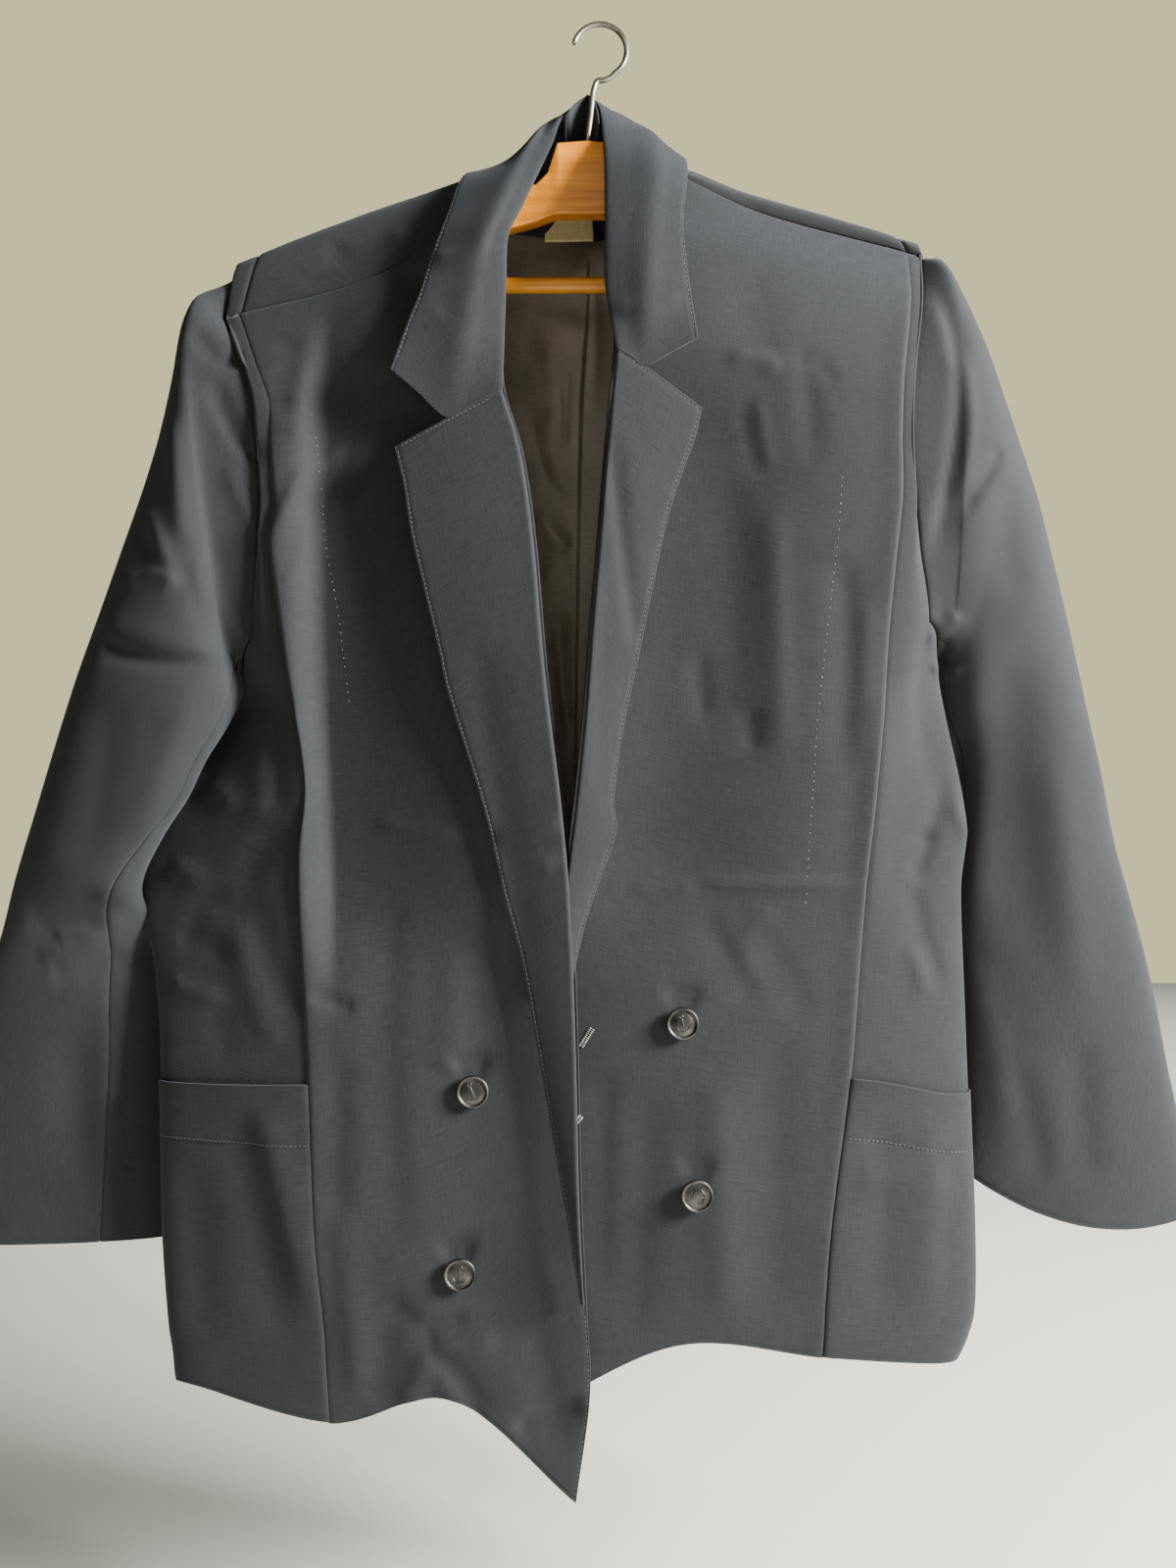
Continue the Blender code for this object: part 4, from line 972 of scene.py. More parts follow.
columns = np.linspace(7.75, 10.25, 60)
points = inside_back(columns, FACING_TOP_Z, FACING_BOTTOM_Z, FACING_GAP, 24)
points = respaced(points, 0, FINE[:4], FINE[:4], 20)
cloth_sheet("neck_facing_band", "neck_facing", points, thickness=0.8)

LABEL_X = (-38.0, -5.0)
# Label's loop as y, z: down its front, round the fold and up behind
LABEL_LOOP = (
    (24.2, -112), (24.0, -118), (23.3, -126), (22.6, -130.2), (22.5, -131.3), (23.0, -131.8),
    (23.6, -131.0), (23.8, -126), (24.0, -119),
)
loop_line = through(LABEL_LOOP, np.linspace(0, len(LABEL_LOOP) - 1, 40))
across = np.linspace(*LABEL_X, 24)
wide = np.ones((40, 24))
points = np.stack([
    across * wide + 0.25 * np.sin(loop_line[:, 1:] / 3),
    loop_line[:, :1] * wide + 0.35 * np.sin(across / 5),
    loop_line[:, 1:] * wide - 0.3 * np.sin(across / 11),
], axis=-1)
cloth_sheet("neck_label", "label", points, label_cloth, 0.3)

# Patch pockets
# A flat patch of the same cloth on each side panel, from the long seam to the side.
# Its mouth is turned in and held by one row of stitches, and its edges are sewn down.

POCKET_GAP = 1.7
POCKET_MOUTH_ROW = 11.0
POCKET_HEM = 38.0
# How far the mouth hangs open at its middle, and how far down that fades
POCKET_GAPE = 2.6
POCKET_GAPE_REACH = 16
POCKET_GROOVE = 0.35
pocket_lines = {}
for word, side in (("right", RIGHT), ("left", LEFT)):
    columns = on_side(np.linspace(SEAM_FRONT + 0.01, SIDE - 0.05, 46), side)
    rows = np.linspace(POCKET_MOUTH_ROW, 14.96, 90)
    points = net(body, rows, columns)
    points = creased(points) + POCKET_GAP * outward(points)
    points = respaced(respaced(points, 0, FINE, FINE, 96), 1, FINE, FINE, 50)
    below = arc(points, 0)
    share = np.linspace(0, 1, points.shape[1])[None]
    points[..., 1] -= POCKET_GAPE * np.sin(np.pi * share) * np.exp(-below / POCKET_GAPE_REACH)
    points[..., 1] += POCKET_GROOVE * np.exp(-((below - POCKET_HEM) ** 2))
    points = bordered(points, sunk=("first", "last"), pressed=("bottom",))
    at = np.argmin(np.abs(below[:, 20] - POCKET_HEM))
    pocket_lines[word] = points[at]
    cloth_sheet(f"patch_pocket_{word}", f"pocket_{word}", points)

# Sleeves
# Two-piece sleeves set into the armholes over a pad: an upper part and an under part,
# seamed down the front and the back of the arm, with plain turned-up cuffs.

# Sleeve rings from the armhole down: outer edge x, z, y; inner edge x, z, y; half depth; drop of the middle
RIGHT_SLEEVE = (
    (-261, -179, -5, -238, -430, -6, 31, 0),
    (-271, -197, -7, -238, -432, -10, 33, 0),
    (-277, -235, -9, -238, -435, -13, 34, 0),
    (-285, -274, -11, -238, -440, -16, 34, 0),
    (-295, -310, -14, -238, -447, -20, 33, 0),
    (-308, -349, -16, -239, -456, -24, 31, 0),
    (-322, -390, -18, -243, -469, -28, 28, 0),
    (-336, -431, -20, -253, -487, -30, 26, 0),
    (-349, -472, -20, -264, -510, -30, 25, 0),
    (-363, -516, -18, -282, -537, -28, 24, 0),
    (-378, -560, -14, -298, -569, -22, 23, 0),
    (-393, -605, -8, -300, -598, 7, 20, 0),
    (-412, -638, 2, -295, -635, 12, 19, 0),
    (-432, -684, 10, -288, -682, 16, 18, 0),
    (-442, -744, 12, -286, -739, 17, 17, 0),
    (-448, -806, 12, -284, -803, 17, 16, 0),
)
LEFT_SLEEVE = (
    (224, -157, -3, 226, -416, -4, 30, 0),
    (236, -178, -3, 227, -419, -1, 32, 0),
    (250, -208, -2, 228, -423, 2, 33, 0),
    (263, -243, -1, 228, -428, 5, 33, 0),
    (275, -277, 0, 229, -436, 8, 32, 0),
    (287, -312, 1, 230, -447, 10, 31, 0),
    (298, -354, 2, 232, -460, 12, 30, 0),
    (309, -396, 4, 238, -480, 14, 28, 0),
    (322, -450, 6, 240, -505, 16, 26, 0),
    (333, -494, 8, 240, -534, 17, 24, 0),
    (343, -540, 10, 238, -570, 18, 22, 0),
    (359, -594, 12, 238, -610, 18, 20, 0),
    (370, -637, 13, 240, -653, 18, 19, 2),
    (381, -691, 14, 241, -696, 18, 18, 6),
    (392, -741, 14, 243, -730, 18, 17, 14),
    (400, -785, 14, 240, -758, 18, 16, 22),
)
STATIONS = 16
WRAP = 5
# Station of the front seam at the armhole, below the elbow and at the cuff, and of the back seam
FRONT_SEAM_RINGS = (0, 9.5, 11.5, 16)
FRONT_SEAM_STATIONS = {RIGHT: (7.2, 7.2, 5.6, 5.1), LEFT: (7.2, 7.2, 7.2, 7.2)}
BACK_SEAM_STATION = 12.0
RING_SQUARENESS = 0.8
SLEEVE_HEAD_GAP = 0.5
# Body net row and column that each station of the armhole takes
ARMHOLE = (
    (1, ARM_BACK), (0, ARM_BACK), (1.2, ARM_FRONT), (2.4, ARM_FRONT), (3.5, ARM_FRONT), (4.4, ARM_FRONT),
    (5.3, ARM_FRONT), (6, ARM_FRONT + 0.35), (6, SIDE), (6, ARM_BACK - 0.35), (5.3, ARM_BACK),
    (4.5, ARM_BACK), (3.8, ARM_BACK), (3.1, ARM_BACK), (2.4, ARM_BACK), (1.7, ARM_BACK),
)
# The armhole's cut edge by station, as body net row and column, with its two corners
CUT_EDGE = (
    (-1, 1.7, 5), (0, 1, 5), (0.999, 0, 5), (1, 0, 3), (2, 1.2, 3), (3, 2.4, 3), (4, 3.5, 3), (5, 4.4, 3),
    (6, 5.3, 3), (6.6, 6, 3), (7, 6, 3.35), (8, 6, 4), (9, 6, 4.65), (9.4, 6, 5), (10, 5.3, 5), (11, 4.5, 5),
    (12, 3.8, 5), (13, 3.1, 5), (14, 2.4, 5), (15, 1.7, 5), (16, 1, 5),
)
# Where the sleeve's inner edge presses on the body: height, half width, reach
INNER_REACH = {RIGHT: ((-438, 22, 5.0), (-590, 26, 3.0)), LEFT: ((-436, 34, 5.5),)}
INNER_STATION = 8
INNER_STATION_WIDTH = 2.4
SLEEVE_ROW_COUNT = 165


def sleeve_net(table, side):
    """Control grid of a sleeve: the armhole ring, then one squared ellipse for each row of its table."""
    mirrored = [(row, column if side == RIGHT else LAST_COLUMN - column) for row, column in ARMHOLE]
    rows, columns = np.array(mirrored).T
    armhole = net_at(body, rows, columns)
    armhole[:, 0] += side * SLEEVE_HEAD_GAP
    turn = np.arange(STATIONS) * 2 * np.pi / STATIONS
    bulge = np.sign(np.sin(turn)) * np.abs(np.sin(turn)) ** RING_SQUARENESS
    rings = [armhole]
    for ox, oz, oy, ix, iz, iy, depth, drop in table:
        outer, inner = np.array((ox, oy, oz), float), np.array((ix, iy, iz), float)
        ring = 0.5 * (outer + inner) + 0.5 * np.outer(np.cos(turn), outer - inner)
        ring[:, 1] -= depth * bulge
        ring[:, 2] -= drop * np.sin(turn) ** 2
        rings.append(ring)
    rings = np.array(rings)
    return np.concatenate([rings[:, -WRAP:], rings, rings[:, :WRAP]], axis=1)


def sleeve_part(control, side, seam_before, seam_after, columns):
    """Grid of a sleeve between two seams, given as a station for each ring, facing outwards."""
    rings = np.linspace(0, len(control) - 1, 150)
    before, after = (np.interp(rings, FRONT_SEAM_RINGS, seam) for seam in (seam_before, seam_after))
    stations = before[:, None] + np.linspace(0, 1, columns) * (after - before)[:, None]
    points = net_at(control, np.repeat(rings[:, None], columns, axis=1), WRAP + stations)
    station, row, column = np.array(CUT_EDGE).T
    edge_rows = np.interp((stations[0] + 1) % STATIONS - 1, station, row)
    edge_columns = np.interp((stations[0] + 1) % STATIONS - 1, station, column)
    if side == LEFT:
        edge_columns = LAST_COLUMN - edge_columns
    edge = net_at(body, edge_rows, edge_columns)
    edge[:, 0] += side * SLEEVE_HEAD_GAP
    near = np.clip(1 - rings / 1.2, 0, 1)[:, None, None] ** 2
    points = points + near * (edge - points[0])
    for z, width, reach in INNER_REACH[side]:
        across = np.exp(-(((stations - INNER_STATION) / INNER_STATION_WIDTH) ** 2))
        across *= np.clip(rings, 0, 1)[:, None]
        points[..., 0] -= side * reach * across * np.exp(-(((points[..., 2] - z) / width) ** 2))
    return points if side == LEFT else points[:, ::-1]


for word, table, side in (("right", RIGHT_SLEEVE, RIGHT), ("left", LEFT_SLEEVE, LEFT)):
    control = sleeve_net(table, side)
    front_seam = FRONT_SEAM_STATIONS[side]
    back_seam = np.full(len(front_seam), BACK_SEAM_STATION)
    parts = (
        ("upper", sleeve_part(control, side, back_seam - STATIONS, front_seam, 100), 104),
        ("under", sleeve_part(control, side, front_seam, back_seam, 60), 62),
    )
    for part, points, count in parts:
        points = respaced(respaced(points, 0, FINE, FINE, SLEEVE_ROW_COUNT), 1, FINE, FINE, count)
        points = bordered(creased(points), sunk=("first", "last", "top"), pressed=("bottom",))
        name, node = f"{part}_sleeve_panel_{word}", f"{part}_sleeve_{word}"
        cloth_sheet(name, node, points)

# Lapels and collar
# The fronts turn back as notched lapels, and the collar's fall rolls over a stand behind the neck.
# Both are two layers of cloth turned right side out, and their edges are top-stitched.

# Lapels on the body net: row at the fold, row at the outer edge, columns from the front edge
RIGHT_LAPEL = (
    (3.02, 3.55, 1),
    (3.45, 3.90, 0.99),
    (4.00, 4.30, 0.97),
    (5.00, 5.05, 0.93),
    (6.00, 5.95, 0.83),
    (7.00, 7.00, 0.78),
    (8.40, 8.40, 0.6),
    (9.20, 9.20, 0.51),
    (10.00, 10.00, 0.39),
    (11.00, 11.00, 0.28),
    (12.00, 12.00, 0.13),
    (12.90, 12.90, 0.05),
)
LEFT_LAPEL = (
    (2.90, 3.42, 0.63),
    (3.40, 3.78, 0.6),
    (4.00, 4.18, 0.54),
    (4.80, 4.80, 0.46),
    (5.60, 5.60, 0.4),
    (6.40, 6.40, 0.345),
    (7.20, 7.20, 0.285),
    (7.90, 7.90, 0.27),
    (8.30, 8.30, 0.31),
    (8.70, 8.70, 0.28),
    (9.20, 9.20, 0.21),
    (9.60, 9.60, 0.16),
    (10.00, 10.10, 0.12),
)
LAPEL_COLUMNS = 60
LAPEL_OUT = 2.75
LAPEL_ROLL = 2.0
LAPEL_TILT = 6.0
LAPEL_THICK = 1.7
FOLD_TURN = 2.6
# Collar from the right gorge round the neck to the left one: fold, middle and outer edge as x, z, y
COLLAR = (
    ((-60, -217, -48), (-87, -228, -53), (-121, -214, -49)),
    ((-59, -186, -47), (-82, -191, -52), (-113, -193, -47)),
    ((-58, -157, -43), (-75, -162, -48), (-107, -169, -41)),
    ((-49, -134, -36), (-67, -140, -43), (-98, -140, -34)),
    ((-39, -107, -26), (-57, -110, -30), (-89, -102, -10)),
    ((-31, -81, -13), (-48, -80, -8), (-75, -88, 28)),
    ((-26, -55, 6), (-38, -57, 16), (-58, -94, 44)),
    ((-10, -31, 28), (-10, -36, 39), (-10, -101, 47)),
    ((-3, -38, 18), (13, -44, 29), (31, -95, 44)),
    ((0, -53, 4), (24, -58, 11), (47, -88, 31)),
    ((1, -75, -10), (33, -73, -6), (56, -84, 6)),
    ((2, -103, -23), (34, -104, -27), (56, -108, -20)),
    ((2, -147, -37), (30, -153, -43), (52, -147, -37)),
    ((2, -188, -44), (28, -197, -50), (55, -187, -45)),
)
RIGHT_COLLAR_TIP = (-131, -51, -243)
LEFT_COLLAR_TIP = (60, -49, -223)
# Share of the left lapel's top edge, from its fold, at which the collar ends in the notch
LEFT_NOTCH = 0.34
# Collar row and the stand's height there
STAND = ((7.0, 17), (7.5, 38), (8.0, 57), (9.0, 50), (10.0, 20), (10.5, 11))
NECK_MIDDLE = (-13.0, 8.0)
STAND_INSET = 1.9


def lapel_grid(table, side):
    """The front's points from its folded edge outwards, moved out, with a soft roll across the middle."""
    at = np.linspace(0, len(table) - 1, 170)
    fold_row, outer_row, width = through(table, at).T
    share = np.linspace(0, 1, LAPEL_COLUMNS)
    rows = fold_row[:, None] + share * (outer_row - fold_row)[:, None]
    columns = 0.02 + share * (width[:, None] - 0.02)
    if side == LEFT:
        columns = (LAST_COLUMN - columns)[:, ::-1]
        rows = rows[:, ::-1]
        share = share[::-1]
    points = net_at(body, rows, columns)
    points[..., 1] -= LAPEL_OUT + LAPEL_ROLL * np.sin(np.pi * share) + LAPEL_TILT * (1 - share) ** 2
    return points


def turned_edge(points, border):
    """The folded edge brought back in a round: a fall of depth * (1 - sqrt(1 - (1 - d / depth)^2))."""
    run = arc(points, 1)
    distance = run if border == "first" else run[:, -1:] - run
    inner = np.clip(1 - distance / FOLD_TURN, 0, 1)
    points = points.copy()
    points[..., 1] += FOLD_TURN * (1 - np.sqrt(np.clip(1 - inner**2, 0, 1)))
    return points


stitch_lines = []
lapels = {}
for word, table, side in (("right", RIGHT_LAPEL, RIGHT), ("left", LEFT_LAPEL, LEFT)):
    points = lapel_grid(table, side)
    lapels[word] = points
    fold, outer = ("first", "last") if side == RIGHT else ("last", "first")
    points = respaced(respaced(points, 0, FINE, FINE, 165), 1, FINE, FINE, 42)
    points = turned_edge(creased(points), fold)
    points = bordered(points, pressed=(outer, "top"))
    normals = outward(points)
    column, along_top = (-4, slice(8, -3)) if side == RIGHT else (3, slice(3, -8))
    stitch_lines.append((points[3:-6, column], normals[3:-6, column]))
    stitch_lines.append((points[3, along_top], normals[3, along_top]))
    cloth_sheet(f"lapel_{word}", f"facing_{word}", points, thickness=LAPEL_THICK)

right_lapel, left_lapel = lapels["right"], lapels["left"]
rows = np.array(COLLAR, float)[..., (0, 2, 1)]
# Columns of the lapels' top edges at which the collar ends
last = LAPEL_COLUMNS - 1
half_right, half_left = LAPEL_COLUMNS // 2, last - round(last * LEFT_NOTCH)
right_end = np.array((right_lapel[0, 0], right_lapel[0, half_right], RIGHT_COLLAR_TIP))
left_end = np.array((left_lapel[0, -1], left_lapel[0, half_left], LEFT_COLLAR_TIP))
fold, notch, tip = np.concatenate([[right_end], rows, [left_end]]).swapaxes(0, 1)
collar_control = np.stack([fold, 0.5 * (fold + notch), notch, 0.5 * (notch + tip), tip], axis=1)
points = net(collar_control, np.linspace(0, len(collar_control) - 1, 220), np.linspace(0, 4, 70))[:, ::-1]
points = respaced(respaced(points, 0, FINE, FINE, 175), 1, FINE, FINE, 48)
facing = outward(points)[..., 1]
forwards = np.clip(-FACING_GAIN * facing, 0, 1)
points[..., 1] -= forwards * crease_field(points[..., 0], points[..., 2], FRONT_CREASES)
points = bordered(points, sunk=("last",), pressed=("first",))
stitch_lines.append((points[6:-6, 3], outward(points)[6:-6, 3]))
cloth_sheet("collar_fall", "collar", points, thickness=LAPEL_THICK)

at, height = np.array(STAND, float).T
rows = np.linspace(at[0], at[-1], 80)
top = net(collar_control, rows, 0.0)[:, 0]
inwards = np.array(NECK_MIDDLE) - top[:, :2]
top[:, :2] += STAND_INSET * inwards / np.linalg.norm(inwards, axis=1, keepdims=True)
top[:, 2] -= 0.3
drop = np.interp(rows, at, height)
share = np.linspace(1, 0, 24)
stand = top[:, None] - np.array((0, 0, 1)) * (share * drop[:, None])[..., None]
stand = bordered(stand, sunk=("first",))
cloth_sheet("collar_stand_band", "collar_stand", stand, thickness=1.0)

# Stitching
# Machine stitches in navy thread, 2 mm in from the edges of lapels and collar and across the pockets.
# Each stitch is a short round of thread that dips into the cloth at both ends.


THREAD_SIDES = 6


def stitches(name, lines, look, pitch=3.0, length=2.3, radius=0.24):
    """Short rounds of thread along lines: a circle of six points carried along each, thinner at its ends."""
    starts, ends, ups = [], [], []
    for line, normal in lines:
        distance = np.concatenate([[0], np.cumsum(np.linalg.norm(np.diff(line, axis=0), axis=1))])
        first = np.arange(0.5 * pitch, distance[-1] - length, pitch)
        middle = first + 0.5 * length
        starts.append(np.stack([np.interp(first, distance, line[:, k]) for k in range(3)], axis=1))
        ends.append(np.stack([np.interp(first + length, distance, line[:, k]) for k in range(3)], axis=1))
        ups.append(np.stack([np.interp(middle, distance, normal[:, k]) for k in range(3)], axis=1))
    start, end, up = (np.concatenate(found) for found in (starts, ends, ups))
    share = np.array([0, 0.15, 0.5, 0.85, 1])
    thick = radius * np.array([0.35, 0.85, 1, 0.85, 0.35])
    lift = np.array([-0.1, 0.08, 0.2, 0.08, -0.1])
    centre = start[:, None] + share[:, None] * (end - start)[:, None] + lift[:, None] * up[:, None]
    along = (end - start) / np.linalg.norm(end - start, axis=1, keepdims=True)
    side = np.cross(along, up)
    turn = np.arange(THREAD_SIDES) * 2 * np.pi / THREAD_SIDES
    circle = (np.cos(turn)[:, None] * side[:, None] + np.sin(turn)[:, None] * up[:, None])
    points = centre[:, :, None] + thick[None, :, None, None] * circle[:, None]
    one = np.array(loop_faces(len(share), THREAD_SIDES, closed=True))
    each = len(share) * THREAD_SIDES
    firsts = each * np.arange(len(points))
    faces = (one[None] + firsts[:, None, None]).reshape(-1, 4).tolist()
    caps = [[first + j for j in range(THREAD_SIDES)] for first in firsts.tolist()]
    caps += [[first + each - 1 - j for j in range(THREAD_SIDES)] for first in firsts.tolist()]
    made = as_mesh(name, points, faces + caps, look)
    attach(made, "root")


def thread_pattern(tree):
    bright, dark = (0.045, 0.052, 0.062, 1), (0.018, 0.021, 0.027, 1)
    return group_node(tree, dull_plating, (0, 0), Bright=bright, Dark=dark, Grain=2500.0)


def pale_thread_pattern(tree):
    bright, dark = (0.42, 0.42, 0.40, 1), (0.12, 0.13, 0.14, 1)
    return group_node(tree, dull_plating, (0, 0), Bright=bright, Dark=dark, Grain=2500.0)


navy_thread = finish_material("Navy thread", thread_pattern, "Object", 0.3, 0.0001, Sheen_Weight=0.3)
pale_thread = finish_material(
    "Worn pale thread", pale_thread_pattern, "Object", 0.3, 0.0001, Sheen_Weight=0.3
)
# Height from which the front edges are stitched, down to the hem
EDGE_STITCH_TOP = {RIGHT: -830, LEFT: -640}
front_normal = np.array((0.0, -1.0, 0.0))
for word, line in pocket_lines.items():
    line = line[3:-3] + 0.25 * front_normal
    stitch_lines.append((line, np.repeat(front_normal[None], len(line), axis=0)))
for word, side in (("right", RIGHT), ("left", LEFT)):
    points = fronts[word]
    column = 3 if side == RIGHT else -4
    below = points[:, column, 2] < EDGE_STITCH_TOP[side]
    stitch_lines.append((points[below, column], outward(points)[below, column]))
stitches("edge_stitching", stitch_lines, navy_thread)

# Buttonholes
# Two worked buttonholes near the fronts' edges, whose thread has worn pale.
# Each is a row of cross stitches along both sides of a slit.

# Front, and its slit from x, z to x, z
BUTTONHOLES = (("left", -6, -655.5, -12.7, -666.5), ("right", -12.7, -709.3, -18.8, -716))
BUTTONHOLE_STITCHES = 11


def front_at(x, z, word):
    """Point of the front's grid nearest to x and z, and the cloth's normal there."""
    points = fronts[word]
    near = np.hypot(points[..., 0] - x, points[..., 2] - z)
    spot = np.unravel_index(np.argmin(near), near.shape)
    return points[spot], outward(points)[spot]


hole_lines = []
for word, x0, z0, x1, z1 in BUTTONHOLES:
    along = np.array((x1 - x0, z1 - z0)) / np.hypot(x1 - x0, z1 - z0)
    across = np.array((-along[1], along[0]))
    share = np.linspace(0, 1, BUTTONHOLE_STITCHES)
    middle = np.array((x0, z0)) + share[:, None] * np.array((x1 - x0, z1 - z0))
    for spot in middle:
        depth = front_at(*spot, word)[0][1] - 0.2
        for side in (-1, 1):
            ends = spot + side * across * np.array((0.2, 1.8))[:, None]
            line = np.stack([ends[:, 0], np.full(2, depth), ends[:, 1]], axis=1)
            hole_lines.append((line, np.repeat(front_normal[None], 2, axis=0)))
stitches("worked_buttonholes", hole_lines, pale_thread, pitch=0.1, length=1.45, radius=0.3)

# Tack stitches
# Thin loose stitches that hold each front to its interlining, in one line down the chest of either front.
# They show as a row of pale dots.

# Front, and its line as pairs of x, z
TACKS = (
    ("right", ((-184, -262), (-181, -290), (-177.5, -344), (-169, -390), (-162, -449))),
    ("left", ((152, -304), (149.5, -343), (146, -374.5), (141.5, -415.5), (136.5, -461), (129, -579.5))),
)

tack_lines = []
for word, corners in TACKS:
    corners = np.array(corners, float)
    steps = np.linspace(0, len(corners) - 1, 90)
    x, z = (np.interp(steps, np.arange(len(corners)), corners[:, k]) for k in (0, 1))
    spots, normals = np.swapaxes([front_at(*place, word) for place in zip(x, z)], 0, 1)
    tack_lines.append((np.stack([x, spots[:, 1], z], axis=1), normals))
stitches("tack_stitches", tack_lines, pale_thread, pitch=5.5, length=1.1, radius=0.17)

# Buttons
# Four cast pewter shank buttons, darkened in the hollows, with a rope rim and an anchor in relief.
# Each is sewn through its shank, so the disc stands off the cloth.

# x and z of the button's middle, the front that carries it, and its turn in degrees
BUTTONS = (
    ("button_1", -81, -694, "right", 20),
    ("button_2", -89, -809, "right", -8),
    ("button_3", 51, -651, "left", 12),
    ("button_4", 60, -759, "left", 75),
)
# Turned profile as radius and height above the cloth: dome, rim, back and shank
BUTTON_PROFILE = (
    (0.02, 5.7), (2.5, 5.62), (4.5, 5.35), (6.2, 4.95), (7.3, 4.5), (7.9, 4.25), (8.3, 4.4), (8.7, 4.95),
    (9.3, 5.2), (9.9, 4.95), (10.3, 4.3), (10.35, 3.8), (9.9, 3.3), (8.5, 3.05), (3.2, 2.9), (2.7, 2.4),
    (2.6, 0.1), (2.2, -0.3), (0.02, -0.3),
)
DOME_POINTS = 8
BUTTON_SIDES = 56
ANCHOR_LIFT = 0.55
BEAD_POINTS = 9
# Rope round the rim: strands, points on its section, its middle as radius and height, its thickness
ROPE_STRANDS = 40
ROPE_SIDES = 8
ROPE_RADIUS = 9.3
ROPE_HEIGHT = 4.95
ROPE_THICK = 0.62
ROPE_TWIST = 0.13


def pewter_pattern(tree):
    bright, dark = (0.12, 0.118, 0.115, 1), (0.022, 0.022, 0.024, 1)
    return group_node(tree, dull_plating, (0, 0), Bright=bright, Dark=dark, Grain=600.0)


pewter = finish_material("Dark pewter", pewter_pattern, "Object", 0.15, 0.0003, Metallic=1.0)


def turned(profile, count):
    """Rings of a profile turned about Y: x = r cos t, z = r sin t, with the height towards -Y."""
    radius, height = np.array(profile).T
    turn = np.arange(count) * 2 * np.pi / count
    x = radius[:, None] * np.cos(turn)
    z = radius[:, None] * np.sin(turn)
    return np.stack([x, np.repeat(-height[:, None], count, axis=1), z], axis=-1)


def dome(x, z):
    """Height of the button's face under a point of the anchor."""
    radius, height = np.array(BUTTON_PROFILE[:DOME_POINTS]).T
    return np.interp(np.hypot(x, z), radius, height)


def raised_line(line, thick):
    """A half-round bead along a line on the face: nine points over the top, sunk at both edges."""
    line = np.asarray(line, float)
    run = np.gradient(line, axis=0)
    run /= np.linalg.norm(run, axis=1, keepdims=True)
    across = np.stack([-run[:, 1], run[:, 0]], axis=1)
    turn = np.linspace(0, np.pi, BEAD_POINTS)
    thick = np.broadcast_to(thick, len(line))[:, None]
    spot = line[:, None] + (thick * np.cos(turn))[..., None] * across[:, None]
    lift = dome(spot[..., 0], spot[..., 1]) - 0.15 + ANCHOR_LIFT * np.sin(turn) * thick / 0.6
    return np.stack([spot[..., 0], -lift, spot[..., 1]], axis=-1)


def grid_faces(rows, columns, start):
    """Quads of a grid whose first point has this number."""
    corner = start + np.arange(rows * columns).reshape(rows, columns)
    quads = np.stack([corner[:-1, :-1], corner[1:, :-1], corner[1:, 1:], corner[:-1, 1:]], axis=-1)
    return quads.reshape(-1, 4)


turn = np.linspace(0, 2 * np.pi, 25)
arms = np.radians(np.linspace(205, 335, 25))
arm_thick = np.interp(np.abs(np.linspace(-1, 1, 25)), (0, 1), (0.75, 0.35))
# The anchor's ring, shank, stock, arms and two flukes, each a line with its half width
ANCHOR = (
    (np.stack([1.0 * np.cos(turn), 4.6 + 1.0 * np.sin(turn)], axis=1), 0.36),
    (np.stack([np.zeros(12), np.linspace(3.6, -4.6, 12)], axis=1), 0.6),
    (np.stack([np.linspace(-2.5, 2.5, 12), np.full(12, 2.5)], axis=1), 0.45),
    (np.stack([4.4 * np.cos(arms), -0.6 + 4.2 * np.sin(arms)], axis=1), arm_thick),
    (np.array(((-5.0, -1.4), (-4.35, -2.0), (-3.5, -2.5), (-2.9, -2.7))), (0.2, 0.5, 0.45, 0.15)),
    (np.array(((5.0, -1.4), (4.35, -2.0), (3.5, -2.5), (2.9, -2.7))), (0.2, 0.5, 0.45, 0.15)),
)
button_points = [turned(BUTTON_PROFILE, BUTTON_SIDES).reshape(-1, 3)]
button_faces = loop_faces(len(BUTTON_PROFILE), BUTTON_SIDES, closed=True)
count = len(button_points[0])
for line, thick in ANCHOR:
    bead = raised_line(line, thick)
    button_points.append(bead.reshape(-1, 3))
    button_faces += grid_faces(*bead.shape[:2], count).tolist()
    count += len(button_points[-1])
around = np.linspace(0, 2 * np.pi, ROPE_STRANDS * 6 + 1)[:-1]
section = np.arange(ROPE_SIDES) * 2 * np.pi / ROPE_SIDES
rope = ROPE_THICK + ROPE_TWIST * np.cos(ROPE_STRANDS * around[:, None] + section)
rope_r = ROPE_RADIUS + rope * np.cos(section)
rope_h = ROPE_HEIGHT + rope * np.sin(section)
rope_points = np.stack([rope_r * np.cos(around[:, None]), -rope_h, rope_r * np.sin(around[:, None])], axis=-1)
corner = count + np.arange(len(around) * ROPE_SIDES).reshape(-1, ROPE_SIDES)
ahead, turned_on = np.roll(corner, -1, axis=0), np.roll(corner, -1, axis=1)
rope_faces = np.stack([corner, ahead, np.roll(ahead, -1, axis=1), turned_on], axis=-1).reshape(-1, 4)
button_points.append(rope_points.reshape(-1, 3))
button_faces += rope_faces.tolist()
button_points = np.concatenate(button_points)
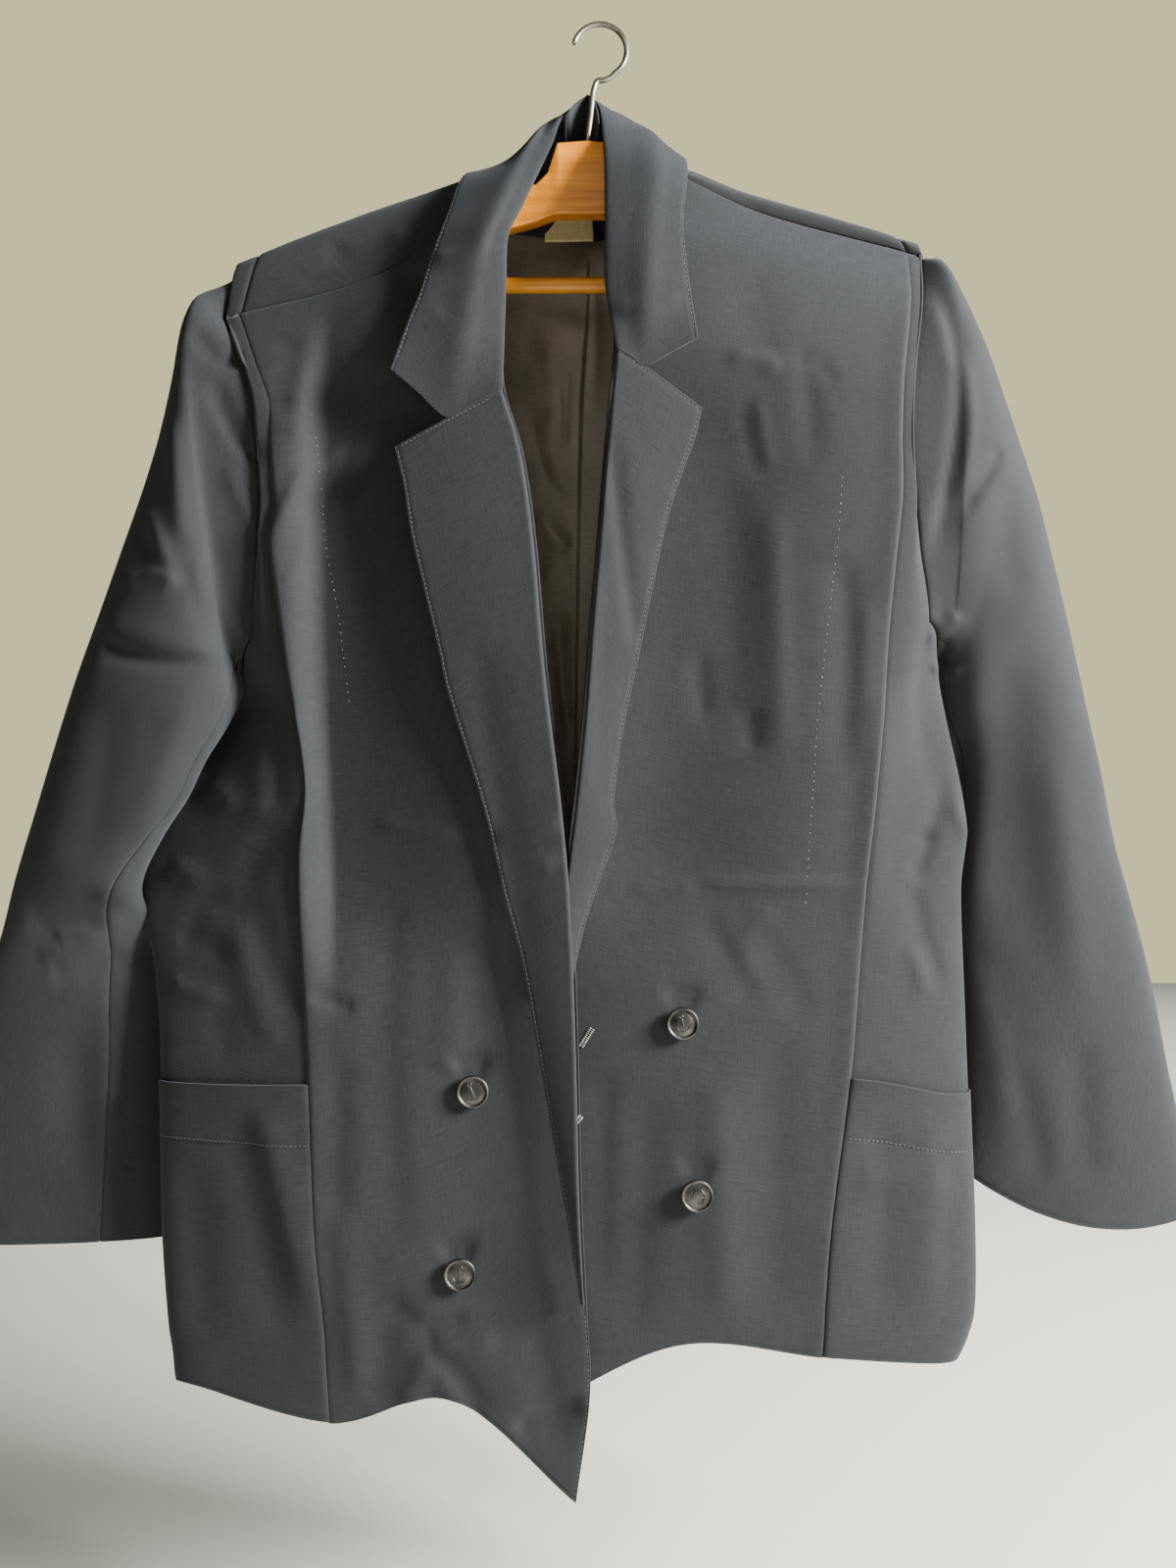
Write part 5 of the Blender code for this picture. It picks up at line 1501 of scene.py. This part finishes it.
for name, x, z, word, spin in BUTTONS:
    spot = front_at(x, z, word)[0]
    spin = np.radians(spin)
    points = button_points.copy()
    points[:, 0], points[:, 2] = (
        points[:, 0] * np.cos(spin) - points[:, 2] * np.sin(spin),
        points[:, 0] * np.sin(spin) + points[:, 2] * np.cos(spin),
    )
    points += (x, spot[1] - 0.1, z)
    button = as_mesh(f"pewter_{name}", points, button_faces, pewter)
    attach(button, "root")
    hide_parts(name)

# Studio
# A plain pale floor under the hanging blazer, plain soft light, and the camera that faces the front.

CAMERA_AT = (-0.0084, -0.81, -0.5006)
CAMERA_LENS = 28.125
FLOOR_Z = -1120
FLOOR_HALF = 3000


def soft_light(name, place, aim, size, power, colour):
    """A square area light that faces a point."""
    light = bpy.data.lights.new(name, "AREA")
    light.size = size
    light.energy = power
    light.color = colour
    made = bpy.data.objects.new(name, light)
    made.location = place
    direction = np.array(aim) - np.array(place)
    flat = np.hypot(direction[0], direction[1])
    made.rotation_euler = (np.arctan2(flat, -direction[2]), 0, np.arctan2(-direction[0], direction[1]))
    bpy.context.scene.collection.objects.link(made)
    return made


soft_light("key_light", (1.7, -0.72, 0.25), (0, 0, -0.45), 0.6, 235, (1.0, 0.98, 0.93))
soft_light("front_light", (-0.5, -2.2, 0.6), (0, 0, -0.45), 1.6, 9, (1.0, 0.93, 0.72))
soft_light("back_light", (1.0, 2.6, 0.9), (0, 0, -0.45), 1.6, 55, (0.97, 0.98, 1.0))
world = bpy.data.worlds.new("Studio")
world.use_nodes = True
add, link = node_kit(world.node_tree)
seen = add("ShaderNodeBackground", (0, -150), {"Color": (0.88, 0.82, 0.44, 1), "Strength": 0.95})
glow = world.node_tree.nodes["Background"]
glow.inputs["Color"].default_value = (0.86, 0.84, 0.66, 1)
glow.inputs["Strength"].default_value = 0.09
ray = add("ShaderNodeLightPath", (0, 200))
choice = add("ShaderNodeMixShader", (250, 0))
link(ray.outputs["Is Camera Ray"], choice.inputs[0])
link(glow.outputs[0], choice.inputs[1])
link(seen.outputs[0], choice.inputs[2])
link(choice.outputs[0], world.node_tree.nodes["World Output"].inputs["Surface"])
bpy.context.scene.world = world

floor_look = bpy.data.materials.new("Pale floor")
floor_look.use_nodes = True
floor_shader = floor_look.node_tree.nodes["Principled BSDF"]
floor_shader.inputs["Base Color"].default_value = (0.72, 0.72, 0.64, 1)
floor_shader.inputs["Roughness"].default_value = 0.9
floor_points = np.array([(-1, -1, 0), (1, -1, 0), (1, 1, 0), (-1, 1, 0)]) * FLOOR_HALF + (0, 0, FLOOR_Z)
floor = as_mesh("studio_floor", floor_points, [[0, 1, 2, 3]], floor_look, smooth=False)

camera_data = bpy.data.cameras.new("Camera")
camera_data.sensor_fit = "VERTICAL"
camera_data.sensor_height = 36
camera_data.lens = CAMERA_LENS
camera = bpy.data.objects.new("Camera", camera_data)
camera.location = CAMERA_AT
camera.rotation_euler = (np.pi / 2, 0, 0)
bpy.context.scene.collection.objects.link(camera)
bpy.context.scene.camera = camera
